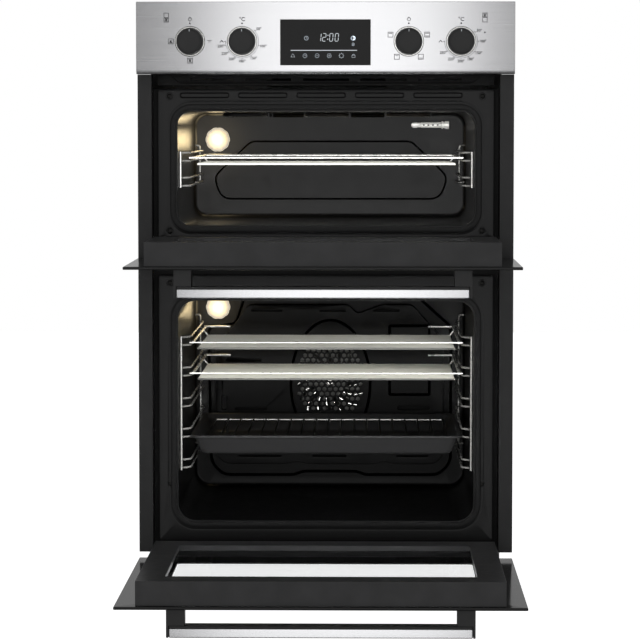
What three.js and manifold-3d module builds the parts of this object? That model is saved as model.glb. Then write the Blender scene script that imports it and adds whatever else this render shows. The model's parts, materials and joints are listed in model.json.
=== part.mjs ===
// A built-in double oven: two cavities behind two drop-down glass doors under one control panel.
// Millimetres, +Z up. The front faces -Y, +X is to the right when looking at the front, and the
// origin is the centre of the underside of the casing. Both doors rest fully open.
import * as THREE from "three";
import { mergeVertices } from "three/addons/utils/BufferGeometryUtils.js";
import Module from "manifold-3d";

const wasm = await Module();
wasm.setup();

// ---- Driving dimensions ----
const GAP = 0.3; // clearance between pieces that touch
const SHEET = 1.4; // sheet steel of the casing and the cavities
const HALF_WIDTH = 297; // half of the panel, the trims and the door glasses
const HEIGHT = 888;
const FRONT = -294.7; // front face of the control panel and of the closed doors
const BACK = 272;
const CASING_HALF = 278; // half width of the casing behind the trims
const CASING_TOP = 886;
const FRAME_FRONT = -244; // front face of the structural front frame

const PANEL_BOTTOM = 775;
const PANEL_DEPTH = 24;
const PANEL_CHAMFER = { height: 7, depth: 4 };

const TRIM_FRONT = -270;
const TRIM_INNER = 275;
const TRIM_BOTTOM = 16;
const TRIM_TOP = 774.7;
const TRIM_RETURN = 28;

const PLATE_FRONT = -250; // enamelled face plates around the two mouths
const PLATE_HALF = 266.5;
const PLATE_RIM = 5;
const MOUTH_HALF = 235.5;
const BACK_WALL = 190; // inner face of both cavities' back walls
const UPPER = { plateLow: 516, plateHigh: 751, low: 536, high: 716.5, radius: 22 };
const LOWER = { plateLow: 32.5, plateHigh: 457, low: 64, high: 416, radius: 28 };
const SEAL = { margin: 2, width: 10, proud: 3 };
const LAMP = { x: -194.5, radius: 21.5, depth: 17, neck: 14, upperZ: 670, lowerZ: 378.5 };

const OUTLET = { low: 757.5, high: 774.3, slotLow: 765, slotHigh: 769.4 };
const OUTLET_SLOTS = [
  [0, 74],
  [-91, 74],
  [91, 74],
  [-180.5, 69],
  [180.5, 69],
]; // centre and width of each air slot

const KNOB = { z: 826, radius: 21.2, faceRadius: 19.6, ringRadius: 24.2, depth: 19, stem: 3 };
const KNOB_X = {
  left_function: -212.4,
  left_temperature: -130.6,
  right_function: 130.6,
  right_temperature: 212.4,
};
const DISPLAY = { half: 70.2, low: 789.3, high: 859.8, thickness: 3 };

const HINGE_Y = -282; // both doors turn about axes at this depth
const UPPER_HINGE_Z = 493.5;
const LOWER_HINGE_Z = 15.5;
const UPPER_DOOR_TOP = 771.5;
const LOWER_DOOR_TOP = 478.7;
const DOOR = {
  glass: 4.5,
  below: 11, // glass below the hinge axis
  ahead: 12.7, // glass front ahead of the hinge axis
  back: 28, // rear face of the frame behind the hinge axis
  half: 266,
  skin: 1.5,
  frameBelow: 8,
  footTop: 56, // the frame is thinner up to this height
  footBack: 14,
  frameShort: 7, // the frame stops this far short of the top of the glass
  windowHalf: 226,
  windowLow: 104,
  topRail: 46,
  innerGlass: 4,
  innerGlassBack: 19.5,
};
const HANDLE = {
  drop: 16,
  height: 30,
  reach: 43,
  thickness: 16.8,
  half: 218.5,
  bracketInner: 196,
  bracketOuter: 222.5,
};
const HINGE = { x: 251.5, thickness: 3, eye: 6.3, pin: 2.9, bore: 3.3, half: 6, length: 80 };

const RACK = {
  wire: 4,
  rail: 3.6,
  wallX: 232.6,
  railX: 218.4,
  rearX: 224.5,
  front: -222,
  bend: -203,
  rear: 168,
  pairGap: 13,
};
const LOWER_RAILS = [144.4, 194, 243.4, 292.9, 342.3];
const UPPER_RAILS = [598.1, 638.1];
const SHELF = {
  frame: 5.6,
  wire: 3.2,
  half: 219.5,
  floorHalf: 205.5,
  front: -221,
  floorBack: 66,
  back: 145,
  dip: 10,
  wires: 12,
  stop: 45,
};
const PAN = {
  half: 219,
  front: -224,
  back: 146,
  rimWidth: 5,
  rimDepth: 6,
  depth: 31.5,
  slope: 13.5,
  sheet: 1.2,
  lip: 4.5,
  radius: 20,
};
const TRIVET = { wire: 3.4, half: 197, front: -192, back: 114, pitch: 21.7, drop: 8.5, leg: 19.5 };
const FAN = { z: 247, radius: 70, cover: 165, coverHalf: 199, coverLow: 104, coverHigh: 385 };

// ---- Geometry helpers ----

/** A closed three.js geometry as a manifold-3d solid. */
function solid(geometry) {
  const bare = geometry.clone();
  bare.deleteAttribute("normal");
  bare.deleteAttribute("uv");
  const merged = mergeVertices(bare, 1e-4);
  const vertProperties = new Float32Array(merged.attributes.position.array);
  const triVerts = new Uint32Array(merged.index.array);
  return new wasm.Manifold(new wasm.Mesh({ numProp: 3, vertProperties, triVerts }));
}

/** A manifold-3d solid as a three.js geometry. */
function geometryOf(made) {
  const mesh = made.getMesh();
  const geometry = new THREE.BufferGeometry();
  geometry.setAttribute("position", new THREE.BufferAttribute(mesh.vertProperties, 3));
  geometry.setIndex(new THREE.BufferAttribute(mesh.triVerts, 1));
  return geometry;
}

function weld(geometries) {
  return geometryOf(geometries.map(solid).reduce((a, b) => a.add(b)));
}

function cut(geometry, tools) {
  return geometryOf(tools.reduce((a, tool) => a.subtract(solid(tool)), solid(geometry)));
}

/** A box between two corners, each axis as [low, high]. */
function box([x0, x1], [y0, y1], [z0, z1]) {
  const geometry = new THREE.BoxGeometry(x1 - x0, y1 - y0, z1 - z0);
  return geometry.translate((x0 + x1) / 2, (y0 + y1) / 2, (z0 + z1) / 2);
}

function rectangle(u0, u1, v0, v1) {
  return new THREE.Shape([
    new THREE.Vector2(u0, v0),
    new THREE.Vector2(u1, v0),
    new THREE.Vector2(u1, v1),
    new THREE.Vector2(u0, v1),
  ]);
}

function roundedRectangle(u0, u1, v0, v1, r) {
  const shape = new THREE.Shape();
  shape.moveTo(u0 + r, v0);
  shape.lineTo(u1 - r, v0);
  shape.absarc(u1 - r, v0 + r, r, -Math.PI / 2, 0);
  shape.lineTo(u1, v1 - r);
  shape.absarc(u1 - r, v1 - r, r, 0, Math.PI / 2);
  shape.lineTo(u0 + r, v1);
  shape.absarc(u0 + r, v1 - r, r, Math.PI / 2, Math.PI);
  shape.lineTo(u0, v0 + r);
  shape.absarc(u0 + r, v0 + r, r, Math.PI, Math.PI * 1.5);
  return shape;
}

function polygon(points) {
  return new THREE.Shape(points.map(([u, v]) => new THREE.Vector2(u, v)));
}

/**
 * A folded strip of even thickness along a polyline. All of it lies on the line's left-hand side,
 * or half of it when it is centred.
 */
function strip(points, thickness, centred = false) {
  const line = points.map(([u, v]) => new THREE.Vector2(u, v));
  const side = (a, b) => {
    const along = b.clone().sub(a).normalize();
    return new THREE.Vector2(-along.y, along.x);
  };
  const mitres = line.map((p, i) => {
    const before = i > 0 ? side(line[i - 1], p) : side(p, line[i + 1]);
    const after = i < line.length - 1 ? side(p, line[i + 1]) : before;
    const sum = before.clone().add(after).normalize();
    return sum.multiplyScalar(1 / sum.dot(before));
  });
  const shifted = (distance) => line.map((p, i) => p.clone().addScaledVector(mitres[i], distance));
  const near = centred ? -thickness / 2 : 0;
  return new THREE.Shape([...shifted(near), ...shifted(near + thickness).reverse()]);
}

const STEPS = 4; // segments in each arc of an extruded outline

function prism(outline, low, high, curveSegments) {
  const options = { depth: high - low, bevelEnabled: false, curveSegments };
  return new THREE.ExtrudeGeometry(outline, options).translate(0, 0, low);
}

/** Extrudes an outline along Z and cuts its holes right through. */
function extrudeZ(shape, z0, z1, curveSegments = STEPS) {
  const outline = new THREE.Shape(shape.getPoints(curveSegments));
  const body = prism(outline, z0, z1, curveSegments);
  if (!shape.holes.length) return body;
  const tools = shape.holes.map((hole) => {
    const inside = new THREE.Shape(hole.getPoints(curveSegments));
    return prism(inside, z0 - 1, z1 + 1, curveSegments);
  });
  return cut(body, tools);
}

/** Extrudes an outline drawn in X and Z between two depths. */
function extrudeY(shape, y0, y1, curveSegments = STEPS) {
  return extrudeZ(shape, 0, y1 - y0, curveSegments)
    .rotateX(Math.PI / 2)
    .translate(0, y1, 0);
}

/** Extrudes an outline drawn in Y and Z between two X values. */
function extrudeX(shape, x0, x1, curveSegments = STEPS) {
  const turn = new THREE.Matrix4().makeBasis(
    new THREE.Vector3(0, 1, 0),
    new THREE.Vector3(0, 0, 1),
    new THREE.Vector3(1, 0, 0),
  );
  return extrudeZ(shape, 0, x1 - x0, curveSegments)
    .applyMatrix4(turn)
    .translate(x0, 0, 0);
}

/** A straight round rod between two points, drawn with few sides. */
function rod(from, to, diameter, sides = 6) {
  const a = new THREE.Vector3(...from);
  const b = new THREE.Vector3(...to);
  const along = b.clone().sub(a);
  const geometry = new THREE.CylinderGeometry(diameter / 2, diameter / 2, along.length(), sides);
  const turn = new THREE.Quaternion().setFromUnitVectors(
    new THREE.Vector3(0, 1, 0),
    along.clone().normalize(),
  );
  const middle = a.clone().add(b).multiplyScalar(0.5);
  return geometry.applyQuaternion(turn).translate(middle.x, middle.y, middle.z);
}

/** Rods along a chain of points, each run on by a radius so that the corners close. */
function bentRod(points, diameter, sides = 6) {
  const rods = [];
  for (let i = 0; i + 1 < points.length; i += 1) {
    const a = new THREE.Vector3(...points[i]);
    const b = new THREE.Vector3(...points[i + 1]);
    const extra = b.clone().sub(a).setLength(diameter * 0.35);
    if (i > 0) a.sub(extra);
    if (i + 2 < points.length) b.add(extra);
    rods.push(rod(a.toArray(), b.toArray(), diameter, sides));
  }
  return rods;
}

/** A turned piece about an axis along Y. Profile points are [radius, y], from the front. */
function turnedY(profile, x, z, segments = 20) {
  const points = profile.map(([radius, y]) => new THREE.Vector2(radius, y));
  const geometry = new THREE.LatheGeometry(points, segments);
  return geometry.translate(x, 0, z);
}

function mirrorX(geometry) {
  const made = solid(geometry).mirror([1, 0, 0]);
  return geometryOf(made);
}

// ---- Materials ----
function material(color, roughness, metalness) {
  return new THREE.MeshStandardMaterial({ color, roughness, metalness });
}

const LOOK = {
  galvanised: () => material(0x9a9da0, 0.45, 0.8),
  blackSteel: () => material(0x2b2b2c, 0.5, 0.3),
  enamel: () => material(0x242425, 0.35, 0.1),
  stainless: () => material(0xb9b9b8, 0.32, 1),
  chrome: () => material(0xd4d4d0, 0.2, 1),
  blackGlass: () => material(0x0c0c0e, 0.06, 0),
  clearGlass: () => material(0x3a3d3f, 0.06, 0),
  lampGlass: () => material(0xf4efe2, 0.25, 0),
  plastic: () => material(0x262628, 0.55, 0),
  rubber: () => material(0x1d1d1e, 0.75, 0),
  board: () => material(0x2e5a3c, 0.6, 0),
  element: () => material(0x5b5650, 0.5, 0.7),
};

const oven = new THREE.Group();

function add(name, geometry, look, parent = oven) {
  const mesh = new THREE.Mesh(geometry, look());
  mesh.name = name;
  parent.add(mesh);
  return mesh;
}

// ---- Casing ----

/** A row of vertical slots cut in an outline, as holes. */
function addSlots(shape, count, pitch, u0, v0, width, height) {
  for (let i = 0; i < count; i += 1) {
    const u = u0 + i * pitch;
    shape.holes.push(rectangle(u, u + width, v0, v0 + height));
  }
}

function buildCasing() {
  const inner = CASING_HALF - SHEET - GAP;
  const flange = 14;
  const rear = BACK - SHEET - GAP;
  const tray = strip(
    [
      [inner, flange],
      [inner, 0],
      [-inner, 0],
      [-inner, flange],
    ],
    -SHEET,
  );
  add("base_panel", extrudeY(tray, FRAME_FRONT + SHEET + GAP, rear), LOOK.galvanised);

  for (const [name, x0] of [
    ["side_panel_left", -CASING_HALF],
    ["side_panel_right", CASING_HALF - SHEET],
  ]) {
    const wall = rectangle(FRAME_FRONT + SHEET + GAP, rear, 0, CASING_TOP - SHEET - GAP);
    addSlots(wall, 6, 16, 120, 800, 7, 44);
    addSlots(wall, 4, 16, 130, 36, 7, 30);
    add(name, extrudeX(wall, x0, x0 + SHEET), LOOK.galvanised);
  }

  const lidPlate = rectangle(-CASING_HALF, CASING_HALF, FRAME_FRONT - 20, rear);
  addSlots(lidPlate, 8, 16, -59.5, 170, 7, 50);
  const lid = weld([
    extrudeZ(lidPlate, CASING_TOP - SHEET, CASING_TOP),
    box([-inner, inner], [FRAME_FRONT - 20, FRAME_FRONT - 18.6], [CASING_TOP - 12, CASING_TOP - 1]),
  ]);
  add("top_cover", lid, LOOK.galvanised);

  const rearPlate = rectangle(-CASING_HALF, CASING_HALF, 1, CASING_TOP);
  addSlots(rearPlate, 8, 16, -59.5, 640, 7, 70);
  addSlots(rearPlate, 6, 16, -43.5, 120, 7, 60);
  rearPlate.holes.push(rectangle(149, 251, 799, 861));
  add("back_cover", extrudeY(rearPlate, BACK - SHEET, BACK), LOOK.galvanised);

  const terminal = cut(box([150, 250], [226, BACK - 0.4], [800, 860]), [
    rod([200, 245, 820], [200, BACK + 1, 820], 15, 12),
    box([158, 242], [234, BACK + 1], [836, 852]),
  ]);
  add("terminal_box", terminal, LOOK.plastic);
}

function buildTrims() {
  const profile = strip(
    [
      [HALF_WIDTH, TRIM_FRONT],
      [TRIM_INNER, TRIM_FRONT],
      [TRIM_INNER, TRIM_FRONT + TRIM_RETURN],
    ],
    -SHEET,
  );
  const right = extrudeZ(profile, TRIM_BOTTOM, TRIM_TOP);
  add("trim_right", right, LOOK.blackSteel);
  add("trim_left", mirrorX(right), LOOK.blackSteel);
}

function buildFrontFrame() {
  const half = TRIM_INNER - 0.6;
  const clearance = SHEET + 2;
  const plate = rectangle(-half, half, 6, UPPER.plateHigh + 1);
  for (const mouth of [UPPER, LOWER]) {
    const edge = MOUTH_HALF + clearance;
    plate.holes.push(rectangle(-edge, edge, mouth.low - clearance, mouth.high + clearance));
  }
  const frame = extrudeY(plate, FRAME_FRONT, FRAME_FRONT + SHEET);
  const slots = [];
  for (const z of [UPPER_HINGE_Z, LOWER_HINGE_Z]) {
    for (const side of [-1, 1]) {
      const x = side * HINGE.x;
      slots.push(box([x - 4, x + 4], [FRAME_FRONT - 1, FRAME_FRONT + SHEET + 1], [z - 8, z + 8]));
    }
  }
  add("front_frame", cut(frame, slots), LOOK.blackSteel);
}

// ---- Mouths and cavities ----

function mouthOutline(mouth, grow = 0) {
  const half = MOUTH_HALF + grow;
  return roundedRectangle(-half, half, mouth.low - grow, mouth.high + grow, mouth.radius + grow);
}

function buildFacePlate(name, mouth) {
  const face = rectangle(-PLATE_HALF, PLATE_HALF, mouth.plateLow, mouth.plateHigh);
  const skin = 1.2;
  const inside = box(
    [-PLATE_HALF + skin, PLATE_HALF - skin],
    [PLATE_FRONT + SHEET, PLATE_FRONT + PLATE_RIM + 1],
    [mouth.plateLow + skin, mouth.plateHigh - skin],
  );
  const plate = cut(extrudeY(face, PLATE_FRONT, PLATE_FRONT + PLATE_RIM), [
    inside,
    extrudeY(mouthOutline(mouth), PLATE_FRONT - 1, PLATE_FRONT + PLATE_RIM + 1),
  ]);
  add(name, plate, LOOK.enamel);
}

function buildSeal(name, mouth) {
  const ring = mouthOutline(mouth, SEAL.margin + SEAL.width);
  ring.holes.push(mouthOutline(mouth, SEAL.margin));
  add(name, extrudeY(ring, PLATE_FRONT - GAP - SEAL.proud, PLATE_FRONT - GAP), LOOK.rubber);
}

function buildCavity(name, mouth, lampZ, extraHoles) {
  const outer = extrudeY(mouthOutline(mouth, SHEET), PLATE_FRONT + SHEET + GAP, BACK_WALL + SHEET);
  const hollow = extrudeY(mouthOutline(mouth), PLATE_FRONT, BACK_WALL);
  const lampHole = rod(
    [LAMP.x, BACK_WALL - 1, lampZ],
    [LAMP.x, BACK_WALL + SHEET + 1, lampZ],
    2 * LAMP.neck + 3,
    16,
  );
  add(name, cut(outer, [hollow, lampHole, ...extraHoles]), LOOK.enamel);
}

function buildLamp(name, z) {
  const front = BACK_WALL - GAP;
  const tip = front - LAMP.depth;
  const wall = 2.5;
  const profile = [
    [0, tip],
    [LAMP.radius * 0.55, tip + 1.5],
    [LAMP.radius * 0.88, tip + 6],
    [LAMP.radius, front - 5],
    [LAMP.radius, front],
    [LAMP.neck, front],
    [LAMP.neck, front + 16],
    [LAMP.neck - wall, front + 16],
    [LAMP.neck - wall, tip + 7],
    [0, tip + 4],
  ];
  add(name, turnedY(profile, LAMP.x, z, 16), LOOK.lampGlass);
}

function buildSensor() {
  const z = 695.2;
  const y = BACK_WALL - 12;
  const sensor = weld([
    rod([141, y, z], [196, y, z], 10, 10),
    rod([194, y, z], [207, y, z], 15, 12),
    box([150, 154], [y, BACK_WALL - GAP], [z - 3, z + 3]),
    box([198, 203], [y, BACK_WALL - GAP], [z - 3, z + 3]),
  ]);
  add("temperature_sensor", sensor, LOOK.chrome);
}

function buildGrillElement() {
  const tube = 6.5;
  const z = UPPER.high - 5;
  const front = -190;
  const turn = 150;
  const legs = [-165, -99, -33, 33, 99, 165];
  const path = legs.flatMap((x, i) => {
    const run = [
      [x, turn],
      [x, front],
    ];
    return i % 2 ? run.reverse() : run;
  });
  path[0] = [legs[0], BACK_WALL - GAP];
  path[path.length - 1] = [legs[legs.length - 1], BACK_WALL - GAP];
  add("grill_element", extrudeZ(strip(path, tube, true), z - tube / 2, z + tube / 2), LOOK.element);
}

// ---- Fan, its heater and its cover, in the lower cavity ----

function hexagon(x, z, radius) {
  const points = [];
  for (let i = 0; i < 6; i += 1) {
    const angle = (i * Math.PI) / 3;
    points.push([x + radius * Math.cos(angle), z + radius * Math.sin(angle)]);
  }
  return polygon(points);
}

function buildFanCover() {
  const half = FAN.coverHalf;
  const chamfer = { x: 72, z: 62 };
  const outline = (inset) =>
    polygon([
      [-half + inset, FAN.coverLow + inset],
      [half - inset, FAN.coverLow + inset],
      [half - inset, FAN.coverHigh - chamfer.z - inset * 0.4],
      [half - chamfer.x - inset * 0.4, FAN.coverHigh - inset],
      [-half + chamfer.x + inset * 0.4, FAN.coverHigh - inset],
      [-half + inset, FAN.coverHigh - chamfer.z - inset * 0.4],
    ]);
  const face = outline(0);
  const pitch = 17.5;
  for (let row = -4; row <= 4; row += 1) {
    for (let column = -4; column <= 4; column += 1) {
      const x = (column + (row % 2 ? 0.5 : 0)) * pitch;
      const z = row * pitch * 0.866;
      if (Math.hypot(x, z) < 62) face.holes.push(hexagon(x, FAN.z + z, 6.6));
    }
  }
  const skirt = outline(0);
  skirt.holes.push(outline(SHEET));
  const cover = weld([
    extrudeY(face, FAN.cover, FAN.cover + SHEET),
    extrudeY(skirt, FAN.cover + SHEET / 2, BACK_WALL - GAP),
  ]);
  add("fan_cover", cover, LOOK.enamel);
}

function buildFan() {
  const discBack = BACK_WALL - 5;
  const depth = 13;
  const pieces = [
    turnedY(
      [
        [0, discBack - 1.5],
        [FAN.radius, discBack - 1.5],
        [FAN.radius, discBack],
        [0, discBack],
      ],
      0,
      FAN.z,
      20,
    ),
    rod([0, discBack - depth, FAN.z], [0, BACK_WALL + 34, FAN.z], 7, 10),
    rod([0, discBack - 7, FAN.z], [0, discBack - 0.5, FAN.z], 22, 12),
  ];
  const blades = 8;
  for (let i = 0; i < blades; i += 1) {
    const blade = box([26, FAN.radius - 2], [discBack - depth, discBack - 0.5], [-0.8, 0.8]);
    blade.rotateY((-i * 2 * Math.PI) / blades).translate(0, 0, FAN.z);
    pieces.push(blade);
  }
  add("fan_wheel", weld(pieces), LOOK.galvanised);

  const motorFront = BACK_WALL + SHEET + GAP;
  const motor = turnedY(
    [
      [6, motorFront],
      [40, motorFront],
      [40, motorFront + 6],
      [34, motorFront + 8],
      [34, motorFront + 52],
      [14, motorFront + 60],
      [0, motorFront + 60],
      [0, motorFront + 40],
      [6, motorFront + 40],
      [6, motorFront],
    ],
    0,
    FAN.z,
    16,
  );
  add("fan_motor", motor, LOOK.galvanised);

  const ringY = BACK_WALL - 12;
  const ringRadius = 88;
  const tube = 3.4;
  const section = [];
  const sides = 5;
  for (let i = 0; i <= sides; i += 1) {
    const angle = (i * 2 * Math.PI) / sides;
    section.push([ringRadius + tube * Math.cos(angle), ringY + tube * Math.sin(angle)]);
  }
  add("ring_element", turnedY(section, 0, FAN.z, 20), LOOK.element);
}

// ---- Cooling blower above the upper cavity ----

function buildBlower() {
  const rotor = { y: 120, z: 806, radius: 32, half: 90 };
  const scroll = [];
  const turns = 9;
  for (let i = 0; i <= turns; i += 1) {
    const angle = -Math.PI / 2 + (i * 1.35 * Math.PI) / turns;
    const radius = rotor.radius + 6 + i * 1.2;
    scroll.push([rotor.y + radius * Math.cos(angle), rotor.z + radius * Math.sin(angle)]);
  }
  const channel = [
    [FRAME_FRONT + 6, 760],
    [60, 760],
    [rotor.y - 20, rotor.z - 40],
    ...scroll,
  ];
  const half = rotor.half + 8;
  const housing = weld([
    extrudeX(strip(channel, -1.2), -half, half),
    box([-half, -half + 1.2], [rotor.y - 46, rotor.y + 50], [rotor.z - 43, rotor.z + 50]),
    box([half - 1.2, half], [rotor.y - 46, rotor.y + 50], [rotor.z - 43, rotor.z + 50]),
  ]);
  const bearing = rod([-half - 1, rotor.y, rotor.z], [half + 1, rotor.y, rotor.z], 12, 12);
  add("blower_housing", cut(housing, [bearing]), LOOK.galvanised);

  const disc = (x) => rod([x, rotor.y, rotor.z], [x + 2, rotor.y, rotor.z], 2 * rotor.radius, 16);
  const pieces = [
    disc(-rotor.half),
    disc(rotor.half - 2),
    rod([-half - 4, rotor.y, rotor.z], [half + 4, rotor.y, rotor.z], 8, 8),
  ];
  const blades = 10;
  for (let i = 0; i < blades; i += 1) {
    const blade = box([-rotor.half + 1, rotor.half - 1], [22, 31], [-0.7, 0.7]);
    blade.rotateX((i * 2 * Math.PI) / blades).translate(0, rotor.y, rotor.z);
    pieces.push(blade);
  }
  add("blower_rotor", weld(pieces), LOOK.galvanised);
}

// ---- Control panel ----

function buildPanel() {
  const rear = FRONT + PANEL_DEPTH;
  const { height, depth } = PANEL_CHAMFER;
  const profile = (inset) =>
    polygon([
      [rear + inset, HEIGHT - inset],
      [FRONT + inset, HEIGHT - inset],
      [FRONT + inset, PANEL_BOTTOM + height],
      [FRONT + depth + inset * 0.6, PANEL_BOTTOM + inset],
      [rear + inset, PANEL_BOTTOM + inset],
    ]);
  const skin = 1.2;
  const shell = extrudeX(profile(0), -HALF_WIDTH, HALF_WIDTH);
  const hollow = extrudeX(profile(skin), -HALF_WIDTH + skin, HALF_WIDTH - skin);
  const holes = Object.values(KNOB_X).map((x) =>
    rod([x, FRONT - 1, KNOB.z], [x, FRONT + skin + 1, KNOB.z], 11, 12),
  );
  const window = box(
    [-DISPLAY.half - GAP, DISPLAY.half + GAP],
    [FRONT - 1, FRONT + skin + 1],
    [DISPLAY.low - GAP, DISPLAY.high + GAP],
  );
  add("control_panel", cut(shell, [hollow, ...holes, window]), LOOK.stainless);

  const glass = box(
    [-DISPLAY.half, DISPLAY.half],
    [FRONT - 0.5, FRONT - 0.5 + DISPLAY.thickness],
    [DISPLAY.low, DISPLAY.high],
  );
  add("display_glass", glass, LOOK.blackGlass);

  const back = FRONT - 0.5 + DISPLAY.thickness + GAP;
  const module = cut(box([-80, 80], [back, rear - 1], [784, 866]), [
    box([-77, 77], [back + 2, back + 16], [787, 870]),
  ]);
  add("display_module", module, LOOK.board);
}

function buildSwitches() {
  const front = FRONT + PANEL_DEPTH + 1;
  const pieces = [box([-262, 262], [front, front + SHEET], [792, 868])];
  const bores = [];
  for (const x of Object.values(KNOB_X)) {
    pieces.push(box([x - 21, x + 21], [front + 0.5, front + 32], [KNOB.z - 21, KNOB.z + 21]));
    bores.push(rod([x, front - 2, KNOB.z], [x, front + 24, KNOB.z], 9, 12));
  }
  add("switch_carrier", cut(weld(pieces), bores), LOOK.galvanised);
}

function buildKnob(name, x) {
  const face = FRONT - KNOB.depth;
  const foot = FRONT - 1.2;
  const stemEnd = FRONT + PANEL_DEPTH + 18;
  const body = turnedY(
    [
      [0, face + 0.8],
      [KNOB.faceRadius - 2.6, face + 0.8],
      [KNOB.faceRadius - 1.2, face],
      [KNOB.faceRadius, face + 1.2],
      [KNOB.radius, foot - 3],
      [KNOB.radius, foot],
      [KNOB.stem, foot],
      [KNOB.stem, stemEnd],
      [0, stemEnd],
    ],
    x,
    KNOB.z,
    18,
  );
  const top = KNOB.z + KNOB.faceRadius;
  const notch = box([x - 0.8, x + 0.8], [face - 1, face + 2.4], [top - 8, top + 3]);
  add(name + "_knob", cut(body, [notch]), LOOK.plastic);
}

// ---- Wire racks and shelves ----

/** One runner: from the front upright, inwards, straight back and out to the rear upright. */
function runner(level) {
  const { wallX, railX, rearX, front, bend, rear, rail } = RACK;
  const path = strip(
    [
      [-wallX, front],
      [-railX, bend],
      [-railX, rear - 14],
      [-rearX, rear],
    ],
    rail,
    true,
  );
  return extrudeZ(path, level - rail / 2, level + rail / 2);
}

function rackWires(rails, hookRise, foot) {
  const { wallX, rearX, front, rear, wire, pairGap } = RACK;
  const low = rails[0] - foot;
  const high = rails[rails.length - 1] + pairGap + 1;
  const hook = [
    [-wallX, rear, low],
    [-rearX, rear, low],
    [-rearX, rear, high + hookRise],
    [-wallX, rear, high + hookRise],
  ];
  const uprights = [rod([-wallX, front, low], [-wallX, front, high], wire), ...bentRod(hook, wire)];
  const levels = rails.flatMap((z) => [z, z + pairGap]);
  return weld([...uprights, ...levels.map(runner)]);
}

function buildRacks() {
  const sets = [
    ["upper", UPPER_RAILS, 8],
    ["lower", LOWER_RAILS, 10],
  ];
  for (const [prefix, rails, rise] of sets) {
    const left = rackWires(rails, rise, 2);
    add(prefix + "_rack_left", left, LOOK.chrome);
    add(prefix + "_rack_right", mirrorX(left), LOOK.chrome);
  }
}

/** The height of a shelf's side rails when it lies on the rail at the given height. */
function shelfHeight(railZ) {
  return railZ + RACK.rail / 2 + GAP + SHELF.frame / 2;
}

function shelfWires(railZ, fullBack) {
  const { half, floorHalf, front, floorBack, back, dip, frame, wire, wires, stop } = SHELF;
  const z = shelfHeight(railZ);
  const floor = z - dip;
  const edge = half - frame / 2;
  const pieces = [
    rod([-edge, front, z], [edge, front, z], frame),
    rod([-edge, front - 1, z], [-edge, back, z], frame),
    rod([edge, front - 1, z], [edge, back, z], frame),
  ];
  const cross = strip(
    [
      [-edge, z],
      [-floorHalf, floor],
      [floorHalf, floor],
      [edge, z],
    ],
    wire,
    true,
  );
  const first = front + 10;
  const pitch = (floorBack - first) / (wires - 1);
  for (let i = 0; i < wires; i += 1) {
    const y = first + i * pitch;
    pieces.push(extrudeY(cross, y - wire / 2, y + wire / 2));
  }
  if (fullBack) {
    pieces.push(rod([-edge, back, z], [edge, back, z], frame));
  } else {
    for (const side of [-1, 1]) {
      const inner = side * (edge - stop);
      const corner = [
        [side * edge, back, z],
        [inner, back, z],
        [inner, floorBack, floor + wire / 2],
      ];
      pieces.push(...bentRod(corner, wire, 5));
    }
  }
  return weld(pieces);
}

function buildShelves() {
  add("upper_shelf", shelfWires(UPPER_RAILS[1], true), LOOK.chrome);
  add("lower_shelf_top", shelfWires(LOWER_RAILS[4], false), LOOK.chrome);
  add("lower_shelf_middle", shelfWires(LOWER_RAILS[3], false), LOOK.chrome);
}

/** A rounded block whose outline shrinks by the slope from its top to its bottom. */
function tapered(outline, bottom, top, slope) {
  const geometry = extrudeZ(outline, bottom, top, 3);
  geometry.computeBoundingBox();
  const { min, max } = geometry.boundingBox;
  const centre = [(min.x + max.x) / 2, (min.y + max.y) / 2];
  const scale = [1 - (2 * slope) / (max.x - min.x), 1 - (2 * slope) / (max.y - min.y)];
  const position = geometry.attributes.position;
  for (let i = 0; i < position.count; i += 1) {
    if (position.getZ(i) > (bottom + top) / 2) continue;
    position.setX(i, centre[0] + (position.getX(i) - centre[0]) * scale[0]);
    position.setY(i, centre[1] + (position.getY(i) - centre[1]) * scale[1]);
  }
  return geometry;
}

function buildPan() {
  const { half, front, back, rimWidth, rimDepth, depth, slope, sheet, lip, radius } = PAN;
  const top = LOWER_RAILS[1] + RACK.rail / 2 + GAP + sheet;
  const rim = roundedRectangle(-half, half, front, back, radius);
  const pocket = (inset) =>
    roundedRectangle(
      -half + rimWidth + inset,
      half - rimWidth - inset,
      front + rimDepth + inset,
      back - rimDepth - inset,
      radius,
    );
  const flange = extrudeZ(rim, top - sheet, top, 3);
  const outer = tapered(pocket(0), top - depth, top - sheet / 2, slope);
  const inner = tapered(pocket(sheet), top - depth + sheet, top + 1, slope);
  const bead = box([-half + rimWidth, half - rimWidth], [front, front + sheet], [top - lip, top]);
  add("grill_pan", cut(weld([flange, outer, bead]), [inner]), LOOK.enamel);
  return top;
}

function buildTrivet(panTop) {
  const { wire, half, front, back, pitch, drop, leg } = TRIVET;
  const z = panTop - drop;
  const bar = (x, y, halfX, halfY, halfZ) =>
    box([x - halfX, x + halfX], [y - halfY, y + halfY], [z - halfZ, z + halfZ]);
  const r = wire / 2;
  const middle = (front + back) / 2;
  const pieces = [bar(0, front, half, r, r), bar(0, back, half, r, r)];
  const count = Math.floor((2 * half - wire) / pitch);
  for (let i = 0; i <= count; i += 1) {
    const x = (i - count / 2) * pitch;
    pieces.push(bar(x, middle, r - 0.2, (back - front) / 2, r - 0.2));
  }
  for (const side of [-1, 1]) {
    const x = side * (count / 2 - 1) * pitch;
    for (const y of [front + 40, back - 40]) pieces.push(rod([x, y, z], [x, y, z - leg], wire));
  }
  add("trivet", weld(pieces), LOOK.chrome);
}

// ---- Doors ----
// Each door is drawn closed, about its own hinge axis, and hung in a group that lays it open.

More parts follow.
